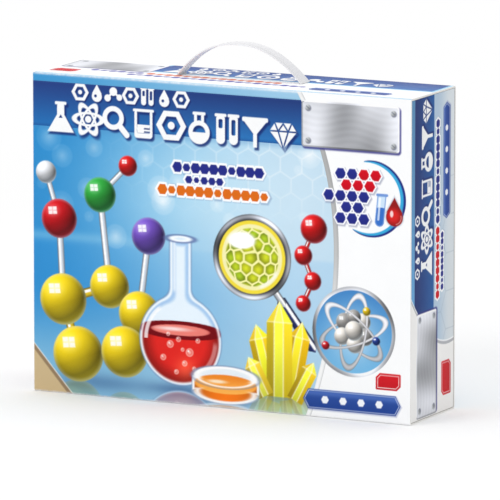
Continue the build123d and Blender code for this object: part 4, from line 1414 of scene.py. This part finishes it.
YELLOW = (moulded("yellow_plastic", (0.95, 0.80, 0.07), 0.30, 0.04, 0.1), "yellow_plastic")
RED = (moulded("red_plastic", (0.80, 0.07, 0.06), 0.28, 0.04, 0.05), "red_plastic")
BLUE = (moulded("blue_plastic", (0.07, 0.26, 0.62), 0.32, 0.05), "blue_plastic")
MILKY = (moulded("white_plastic", (0.93, 0.93, 0.92), 0.38, 0.05, 0.1), "white_plastic")
CLEAR = (glassy("clear_plastic", (0.965, 0.985, 0.99)), "clear_plastic")
SOFT_CLEAR = (glassy("soft_clear_plastic", (0.80, 0.90, 0.97), 0.22, 1.45), "clear_plastic")
INK = (moulded("marking_ink", (0.16, 0.24, 0.52), 0.5, 0.08), "clear_plastic")
RUBBER = (moulded("pipette_rubber", (0.70, 0.16, 0.10), 0.62, 0.25, Sheen_Weight=0.2), "pipette_rubber")
ELASTIC = (woven("elastic_webbing", (0.10, 0.22, 0.52), (0.16, 0.32, 0.66)), "elastic_band")
PAPER = (moulded("booklet_paper", (0.93, 0.93, 0.90), 0.8, 0.2), "booklet_paper")
COVER = (moulded("booklet_cover_paper", (0.30, 0.52, 0.76), 0.42, 0.08), "booklet_paper")
LID_COLOURS = ((0.80, 0.09, 0.08), (0.95, 0.78, 0.08), (0.12, 0.52, 0.26), (0.09, 0.28, 0.64), (0.90, 0.45, 0.08),
               (0.42, 0.26, 0.66))
LABEL_COLOURS = ((0.92, 0.62, 0.60), (0.97, 0.90, 0.60), (0.62, 0.85, 0.68), (0.62, 0.76, 0.93), (0.96, 0.78, 0.58),
                 (0.80, 0.72, 0.92))


def ticks(name, radius_at, foot, heights, reach, every=5, thick=0.45):
    """Graduation marks on a turned vessel: short curved lines of ink, with a longer one at every fifth."""
    facing, proud, steps = -90.0, 0.12, 8
    bm = bmesh.new()
    for number, height in enumerate(heights):
        wide = reach[number % every == 0]
        rows = []
        for k in range(steps + 1):
            turn = math.radians(facing - wide / 2 + wide * k / steps)
            rows.append([foot + polar(radius_at(height) + out * proud, turn, height + up * thick / 2)
                         for out, up in ((-1, -1), (1, -1), (1, 1), (-1, 1))])
        loft(rows, bm=bm)
    meshed(bm, name, INK)


def knurl(count, depth, low, high):
    """Grip ribs round a cap between two heights."""
    def added(turn, height):
        fade = max(0.0, min(1.0, (height - low) / 0.8, (high - height) / 0.8))
        return depth * fade * (abs(math.cos(count * turn / 2)) - 1)
    return added


def make_jars():
    """Six jars with plain coloured labels and ribbed lids, in two rows of three."""
    jars, caps = Room("reagent_jars"), Room("reagent_jar_lids")
    height, top, radius = jars.size.z, caps.size.z, 17.0
    wide = radius + jars.low.x - caps.low.x
    full, waist, neck = radius - 0.3, radius - 0.9, radius - 3.0
    jar = softened([(0, 0.6), (radius - 4.5, 0.6, 1.0), (radius - 3.2, 0, 0.8), (full, 0, 2.2), (full, 5.2, 0.6),
                    (waist, 6.2, 0.5), (waist, height - 11, 0.5), (full, height - 10, 0.6), (full, height - 6.5, 3),
                    (neck, height - 1.2, 1.5), (neck, height, 0), (0, height, 0)], 1.0)
    glued, face = radius - 1.0, radius - 0.55
    label = softened([(glued, 8.0), (face, 8.0), (face, height - 13), (glued, height - 13)], 0.1, True, 2)
    lid = softened([(0, 0, 0), (wide - 0.6, 0, 0.4), (wide, 0.7, 0.4), (wide, top - 1.6, 1.2),
                    (wide - 1.4, top - 0.2, 1.0), (wide - 3.4, top, 0.8), (wide - 4.6, top - 0.9, 0.8),
                    (0, top - 0.9, 0)], 0.5)
    for k in range(6):
        x = jars.low.x + radius + k % 3 * (jars.size.x - 2 * radius) / 2
        y = jars.low.y + radius + k // 3 * (jars.size.y - 2 * radius)
        lathe(f"reagent_jar_{k + 1}", jar, (x, y, jars.low.z), MILKY, "reagent_jars")
        ink = moulded(f"jar_label_{k + 1}", LABEL_COLOURS[k], 0.45, 0.06)
        lathe(f"jar_label_{k + 1}", label, (x, y, jars.low.z), (ink, "booklet_paper"), closed=True)
        grip = moulded(f"jar_lid_plastic_{k + 1}", LID_COLOURS[k], 0.34, 0.05)
        lathe(f"reagent_jar_lid_{k + 1}", refine(lid, 1.2), (x, y, caps.low.z), (grip, "lid_plastic"),
              "reagent_jar_lids", segments=144, ripple=knurl(48, 0.8, 0.8, top - 1.6))


def make_tubes():
    """Three test tubes with marks, and their caps with ribs and plugs."""
    caps = Room("tube_caps")
    wide, outer, inner = caps.size.y / 2, 8.0, 7.0
    arc = [(math.sin(a), math.cos(a)) for a in np.radians(np.linspace(0, 90, 14))]
    for number in (1, 2, 3):
        at = Room(f"test_tube_{number}")
        height, flare = at.size.z, at.size.x / 2
        dome = [(outer * s, outer - outer * c) for s, c in arc[1:]]
        bowl = [(inner * s, outer - inner * c) for s, c in arc[:0:-1]]
        lip = softened([(outer, height - 4), (outer, height - 2.4, 0.8), (flare, height - 1.6, 0.6),
                        (flare, height - 0.1, 0.6), (inner, height - 0.1, 0.5), (inner, height - 4)], 0.5, count=4)
        profile = [(0.0, 0.0), *dome, *lip, *bowl, (0.0, outer - inner)]
        lathe(f"test_tube_glass_{number}", profile, at.foot, CLEAR, f"test_tube_{number}")
        ticks(f"test_tube_marks_{number}", lambda h: outer, at.foot, [60 + 6 * k for k in range(9)], (38.0, 66.0))
        top, plug = caps.high.z - at.high.z, at.high.z - caps.low.z
        cap = softened([(0, 0, 0), (wide - 0.5, 0, 0.4), (wide, 0.6, 0.4), (wide, top - 1.4, 1.0),
                        (wide - 1.2, top - 0.1, 0.8), (wide - 3.0, top - 0.1, 0.6), (wide - 3.8, top - 0.8, 0.6),
                        (0, top - 0.8, 0)], 0.5)
        lathe(f"test_tube_cap_{number}", refine(cap, 1.0), (at.foot.x, at.foot.y, at.high.z), BLUE, "tube_caps",
              segments=120, ripple=knurl(40, 0.6, 0.8, top - 1.4))
        tight = inner - 0.35
        stopper = softened([(0, 0, 0), (inner - 1.6, 0, 0.5), (tight, 1.2, 0.5), (tight, plug, 0), (0, plug, 0)], 0.4)
        lathe(f"test_tube_plug_{number}", stopper, (at.foot.x, at.foot.y, caps.low.z), BLUE, "tube_caps")


def make_rack():
    """A rack of two plates with holes, a collar under each upper hole, and two ends with windows."""
    ends, foot, top = Room("rack_ends"), Room("rack_base"), Room("rack_top_plate")
    thick, half, middle_y, tall = foot.size.z, ends.size.y / 2, ends.middle.y, ends.size.z
    tube_places = [Room(f"test_tube_{number}").middle.x for number in (1, 2, 3)]
    plates = (("rack_top", "rack_top_plate", top, 8.5, 72), ("rack_foot", "rack_base", foot, 4.2, 48))
    for name, node, at, hole, count in plates:
        plate = rounded_box((at.low.x - 0.4, -half), (at.high.x + 0.4, half), 1.2)
        holes = [circle((x, 0), hole, count)[::-1] for x in tube_places]
        slab(name, plate, holes, lambda u, v, w: (u, middle_y + v, at.middle.z + w), thick, YELLOW, node)
    collar = softened([(8.5, 0.0), (10.4, 0.0), (10.4, 1.2), (8.5, 1.2)], 0.4, True, 3)
    for number, x in enumerate(tube_places):
        lathe(f"rack_collar_{number + 1}", collar, (x, middle_y, top.low.z - 1.2), YELLOW, closed=True)
    opening = rounded_box((-half + 7, 12), (half - 7, tall - 12), 4.0)[::-1]
    end = rounded_box((-half, 0), (half, tall), 2.5)
    for side, x in (("left", ends.low.x + thick / 2), ("right", ends.high.x - thick / 2)):
        slab(f"rack_end_{side}", end, [opening], lambda u, v, w: (x + w, middle_y + u, ends.low.z + v), thick,
             YELLOW, "rack_ends", 0.6)


def make_beaker():
    """A square beaker that widens at a step, with a rolled rim and marks on one side."""
    at = Room("square_beaker")
    height, half_top, half_base, wall = at.size.z, at.size.x / 2, 23.625, 1.4
    step = height * 0.42

    def flank(z):
        return half_base + (half_top - half_base) * z / height

    outside = ((0.0, -2.2), (0.0, -1.0), (0.5, -0.3), (1.4, 0.0), (6, -0.9), (step - 1.2, -0.9), (step, -0.45))
    rim = ((-3.0, -0.5), (-2.2, -0.1), (-1.0, 0), (-0.3, -0.25), (0, -0.8), (-0.3, -wall - 0.1), (-2.5, -wall - 0.4))
    skin = [(z, flank(z) + out) for z, out in outside] + [(step + 1.4, flank(step) - 0.1)]
    skin += [(height + up, half_top + out) for up, out in rim]
    skin += [(z, flank(z) - wall - 0.9) for z in (step + 1, step - 2, 8, 3.2)]
    skin += [(wall + 0.6, half_base - wall - 2.0), (wall, half_base - wall - 3.4)]
    rings = []
    for z, half in skin:
        ring = rounded_box((-half, -half), (half, half), max(2.0, 7.0 - (half_top - half)), 6)
        rings.append([at.foot + Vector((u, v, z)) for u, v in ring])
    meshed(loft(rings), "square_beaker_shell", CLEAR, "square_beaker")
    marks = bmesh.new()
    for number in range(8):
        z = 10 + number * 5.4
        centre = at.foot + Vector((-8, -flank(z) + (0.85 if z < step else 0.2), z))
        block(marks, centre, (11.0 if number % 2 else 7.0, 0.3, 0.5))
    meshed(marks, "beaker_marks", INK)


def make_cylinder():
    """A measuring cylinder with a wide foot, a pour lip and close marks."""
    at = Room("measuring_cylinder")
    height, foot, outer, inner = at.size.z, at.size.x / 2, 12.3, 11.0
    lip_way, lip_width, lip_rise, lip_out = math.radians(200), 0.28, 7.0, 1.8
    line = [(0, 0.8), (foot - 5, 0.8, 0.6), (foot - 4, 0, 0.5), (foot, 0, 1.0), (foot, 3.0, 1.4), (foot - 5, 4.8, 2.0),
            (outer + 2.6, 5.6, 2.4), (outer, 9.5, 3.0), (outer, height - 5, 2.0), (outer + 1.3, height - 0.8, 0.8),
            (outer + 0.9, height, 0.5), (inner + 0.7, height, 0.4), (inner, height - 4.5, 2.0), (inner, 8.2, 2.0),
            (inner - 2.0, 6.4, 1.5), (0, 6.0)]

    def spout(turn, z):
        gap = (turn - lip_way + math.pi) % (2 * math.pi) - math.pi
        rise = max(0.0, min(1.0, (z - (height - lip_rise)) / lip_rise))
        return lip_out * rise**2 * math.exp(-((gap / lip_width) ** 2))

    lathe("measuring_cylinder_tube", softened(line, 1.0), at.foot, CLEAR, "measuring_cylinder", segments=72,
          ripple=spout)
    ticks("cylinder_marks", lambda h: outer, at.foot, [16 + 2.0 * k for k in range(48)], (26.0, 52.0))


def make_flask():
    """A conical flask with a rolled lip and a few marks."""
    at = Room("conical_flask")
    height, base, neck, wall, shoulder = at.size.z, 29.0, 11.0, 1.3, 68.0
    foot_top, flank, lip = 5.5, base - 0.6, neck + 1.9
    line = [(0, 1.0), (base - 8, 0.8, 2), (base - 5, 0, 1.5), (base, 0, 5.0), (flank, foot_top, 4.0),
            (neck + 0.2, shoulder, 9.0), (neck, shoulder + 5, 3), (neck, height - 4.0, 1.2), (lip, height - 2.6, 0.9),
            (lip, height - 0.4, 0.9), (neck + 0.4, height, 0.6), (neck - wall, height - 2.4, 0.8),
            (neck - wall, shoulder + 5, 3), (neck - wall, shoulder, 8.0), (base - wall - 1.2, 6.2, 3.5),
            (base - wall - 3.4, 2.0, 2.0), (base - 9, 2.1, 2), (0, 2.4)]
    lathe("conical_flask_glass", softened(line, 1.0, count=8), at.foot, CLEAR, "conical_flask", segments=96)
    slope = (flank - neck - 0.2) / (shoulder - foot_top)
    ticks("flask_marks", lambda h: flank - slope * (h - foot_top), at.foot, range(14, 51, 6), (12.0, 24.0), 3, 0.6)


def make_funnel():
    """A funnel, mouth down, with four ribs on its cone."""
    at = Room("funnel")
    height, rim, wall, cone, stem = at.size.z, at.size.x / 2, 1.3, 36.0, 3.6
    shoulder, mouth, bore = rim - 2.0, 5.4, stem - 0.9
    line = [(rim - wall - 1.2, 0, 0.3), (rim, 0, 0.6), (rim, 2.4, 0.6), (rim - 1.2, 3.0, 0.6), (shoulder, mouth, 2),
            (stem + 0.9, cone, 3.5), (stem, cone + 3.5, 2), (bore, height, 0.5), (bore - 1.0, height, 0.3),
            (stem - wall - 0.4, cone + 3, 3), (stem - 0.2, cone - 1.5, 3), (rim - wall - 1.5, 5.0, 2)]
    lathe("funnel_body", softened(line, 0.6, True, 6), at.foot, RED, "funnel", closed=True, segments=96)
    bm = bmesh.new()
    for k in range(4):
        turned_to = Matrix.Rotation(math.radians(45 + 90 * k), 3, "Z")
        rows = []
        for t in np.linspace(0, 1, 8):
            down = 0.30 + 0.68 * t
            r, h = shoulder + (stem + 0.9 - shoulder) * down, mouth + (cone - mouth) * down
            proud = 1.1 * math.sin(math.pi * (0.12 + 0.80 * t))
            rows.append([at.foot + turned_to @ Vector((r + out, side, h))
                         for side, out in ((-0.6, -0.4), (-0.45, proud), (0.45, proud), (0.6, -0.4))])
        loft(rows, bm=bm)
    meshed(bm, "funnel_ribs", RED)


BAND_HALF = ((0.65, -1.0), (0.75, -0.9), (0.6, 0.0), (0.75, 0.9), (0.65, 1.0))
BAND_SECTION = (*BAND_HALF, *((-out, up) for out, up in BAND_HALF[::-1]))


def make_goggles():
    """Goggles with a soft frame, a flat lens, blue vents and an elastic band."""
    at, window, band = Room("goggles_frame"), Room("goggles_lens"), Room("goggles_band")
    half_x, half_z, corner, depth = at.size.x / 2, at.size.z / 2, 24.0, at.size.y

    def outline(inset):
        """The goggles' outline, with a shallow notch over the nose."""
        loop = rounded_box((inset - half_x, inset - half_z), (half_x - inset, half_z - inset), corner - inset, 14)
        dense = refine(loop + loop[:1], 4.0)[:-1]
        return [(u, v + (9.0 * math.exp(-((u / 13.0) ** 2)) if v < 0 else 0)) for u, v in dense]

    # The frame is a soft wall that widens a little towards the face, with a rolled rim at each end.
    section = [(0.0, 0.0), (0.0, 2.0), (0.9, 3.0), (1.2, 7.0), (0.9, depth - 6), (0.0, depth - 3), (0.0, depth - 0.6),
               (0.8, depth), (3.4, depth), (3.6, depth - 2.0), (3.6, 7.0), (2.6, 2.0), (2.4, 0.0)]
    rings = [[(at.middle.x + u, at.low.y + back, at.middle.z + v) for u, v in outline(inset)]
             for inset, back in softened(section, 0.5, True, 3)]
    meshed(loft(rings, True), "goggles_surround", SOFT_CLEAR, "goggles_frame")
    slab("goggles_window", outline(0.8), [], lambda u, v, w: (at.middle.x + u, window.middle.y - w, at.middle.z + v),
         window.size.y, CLEAR, "goggles_lens")

    vents = bmesh.new()
    for side in (-1, 1):
        for k in range(7):
            centre = (at.middle.x + side * (16 + 5.0 * k), at.middle.y, at.high.z - 0.7)
            verts = block(vents, centre, (2.2, 11.0, 1.3))
            edges = [edge for edge in vents.edges if all(vertex in verts for vertex in edge.verts)]
            bmesh.ops.bevel(vents, geom=edges, offset=0.25 * MM, segments=2, affect="EDGES")
    meshed(vents, "goggles_vents", BLUE)

    # The elastic band lies folded behind the frame, from one side to the other, with two soft folds in it.
    path = []
    for turn in np.linspace(math.pi, 0, 90):
        u = band.size.x / 2 * 0.985 * math.copysign(abs(math.cos(turn)) ** 0.55, math.cos(turn))
        out = (band.size.y - 1.5) * max(0.0, math.sin(turn)) ** 0.9 * (0.93 + 0.07 * math.cos(6 * turn))
        path.append(Vector((at.middle.x + u, band.low.y + out, band.middle.z)))
    rows = []
    for k, point in enumerate(path):
        along = (path[min(k + 1, len(path) - 1)] - path[max(k - 1, 0)]).normalized()
        row = [point + Vector((along.y * out, -along.x * out, up * band.size.z / 2)) for out, up in BAND_SECTION]
        rows.append([(spot.x, min(max(spot.y, band.low.y), band.high.y), spot.z) for spot in row])
    meshed(loft(rows), "goggles_elastic", ELASTIC, "goggles_band")


# Across, up, and how much of the bowl's hollow, for each point of the spoon's section.
SPOON_SECTION = ((-1.0, 0.5, 0), (-0.93, 0.88, 0), (-0.80, 1.0, 0), (-0.62, 1.0, 0.75), (-0.3, 1.0, 1),
                 (0.0, 1.0, 1.05), (0.3, 1.0, 1), (0.62, 1.0, 0.75), (0.80, 1.0, 0), (0.93, 0.88, 0), (1.0, 0.5, 0),
                 (0.85, 0.12, 0), (0.5, 0.0, 0), (0.0, 0.0, 0), (-0.5, 0.0, 0), (-0.85, 0.12, 0))


def make_spoon():
    """A stirring spoon with a hollow bowl, a tapered rod and grip ribs."""
    at = Room("stirring_spoon")
    length, thick, bowl_long, bowl_half, rod_half, steps = at.size.x, at.size.z, 26.0, 8.0, 3.0, 150
    ribs_start, ribs_end, rib_pitch = 12, 44, 4.0
    bowl_centre = length - bowl_long / 2

    def curve(t):
        return math.sqrt(max(0.0, 1 - t * t))

    rows = []
    for x in (length * k / steps for k in range(steps + 1)):
        into = (x - bowl_centre) / (bowl_long / 2)
        handle = rod_half * curve(max(0.0, (rod_half - x) / rod_half)) if x < bowl_centre else 0.0
        rib = (math.cos(x * 2 * math.pi / rib_pitch) > 0) * (ribs_start < x < ribs_end)
        taper = 1.0 - 0.35 * min(1.0, max(0.0, (x - ribs_end) / 40))
        wide = max(bowl_half * curve(into), handle * taper + 0.36 * rib, 0.15)
        hollow, tall = 1.5 * curve(into / 0.86) / thick, thick * (0.92 + 0.08 * rib)
        rows.append([(at.low.x + x, at.middle.y + t * wide, at.low.z + (up - hollow * deep) * tall)
                     for t, up, deep in SPOON_SECTION])
    meshed(loft(rows), "ribbed_spoon", RED, "stirring_spoon")


def make_pipette():
    """A pipette: a rubber bulb, a drawn-out tube and eight marks round it."""
    at, stem = Room("pipette_bulb"), Room("pipette_tube")
    radius, length = at.size.z / 2, at.size.x
    long, outer = stem.size.x, stem.size.z / 2
    line = [(0, 0), (radius * 0.55, 0.2, 2), (radius * 0.95, 3.0, 3), (radius, 10, 5)]
    line += [(radius * out, length * at_share, own) for out, at_share, own in (
        (0.97, 0.55, 5), (0.62, 0.74, 4), (0.55, 0.80, 0.6), (0.66, 0.82, 0.5), (0.66, 0.87, 0.5), (0.56, 0.89, 0.5),
        (0.56, 0.93, 0.5), (0.66, 0.95, 0.5), (0.66, 1.0, 0.6))]
    line += [(0, length)]
    centre, start = (at.low.x, at.middle.y, at.middle.z), (stem.low.x, at.middle.y, at.middle.z)
    pieces = [lathe("pipette_squeeze_bulb", softened(line, 1.0, count=6), centre, RUBBER, "pipette_bulb", lying=True)]
    line = [(1.5, 0, 0), (outer, 0, 0.3), (outer, long * 0.62, 6), (outer * 0.45, long * 0.80, 6),
            (outer * 0.32, long, 0.3), (outer * 0.16, long, 0.2), (outer * 0.22, long * 0.80, 6), (1.9, long * 0.62, 6)]
    pieces += [lathe("pipette_stem", softened(line, 0.4, True, 6), start, CLEAR, "pipette_tube", True, True, 40)]
    for k in range(8):
        ring = [(outer + out, 8 + 5.0 * k + up) for out, up in ((-0.05, 0), (0.10, 0), (0.10, 0.5), (-0.05, 0.5))]
        pieces.append(lathe(f"pipette_mark_{k + 1}", ring, start, INK, None, True, True, 40))
    # The pipette rests on its bulb and on its tip.
    turn_at = Matrix.Translation(Vector((at.low.x + 0.55 * length, at.middle.y, at.low.z)) * MM)
    for piece in pieces:
        piece.data.transform(turn_at @ Matrix.Rotation(0.0706, 4, "Y") @ turn_at.inverted())


def make_booklet():
    """A booklet of seven leaves that don't lie quite even, in a printed cover."""
    low, size, middle = booklet.low, booklet.size, booklet.middle
    leaves, cover, half = 7, 0.22, size.y / 2
    gap = (size.y - 2 * cover) / leaves
    bm = bmesh.new()
    for k in range(leaves):
        inset = 0.9 + 0.35 * math.sin(k * 2.3)
        block(bm, (middle.x + 0.2 - inset / 2, low.y + cover + gap * (k + 0.5), middle.z),
              (size.x - 1.2 - inset, gap * 0.82, size.z - 1.0 - inset * 0.5))
    meshed(bm, "booklet_pages", PAPER, "instruction_booklet")
    # The cover is one sheet, folded round the spine at the left.
    lines = []
    for radius in (half, half - cover):
        spine = [(half + radius * math.cos(a), radius * math.sin(a)) for a in np.radians(np.linspace(-90, -270, 13))]
        lines.append([(size.x, -radius), *spine, (size.x, radius)])
    low_z, high_z = low.z, booklet.high.z
    rings = [[(low.x + u, middle.y + v, z) for (u, v), z in zip((out, into, into, out), (low_z, low_z, high_z, high_z))]
             for out, into in zip(*lines)]
    meshed(loft(rings), "booklet_cover", COVER, "instruction_booklet")
    print_sheet("booklet_print", "booklet", booklet_art, half + 0.3, size.x - 0.2, 0.2, size.z - 0.2, 0.8,
                "booklet_paper")


for make in (make_jars, make_tubes, make_rack, make_beaker, make_cylinder, make_flask, make_funnel, make_goggles,
             make_spoon, make_pipette, make_booklet):
    make()
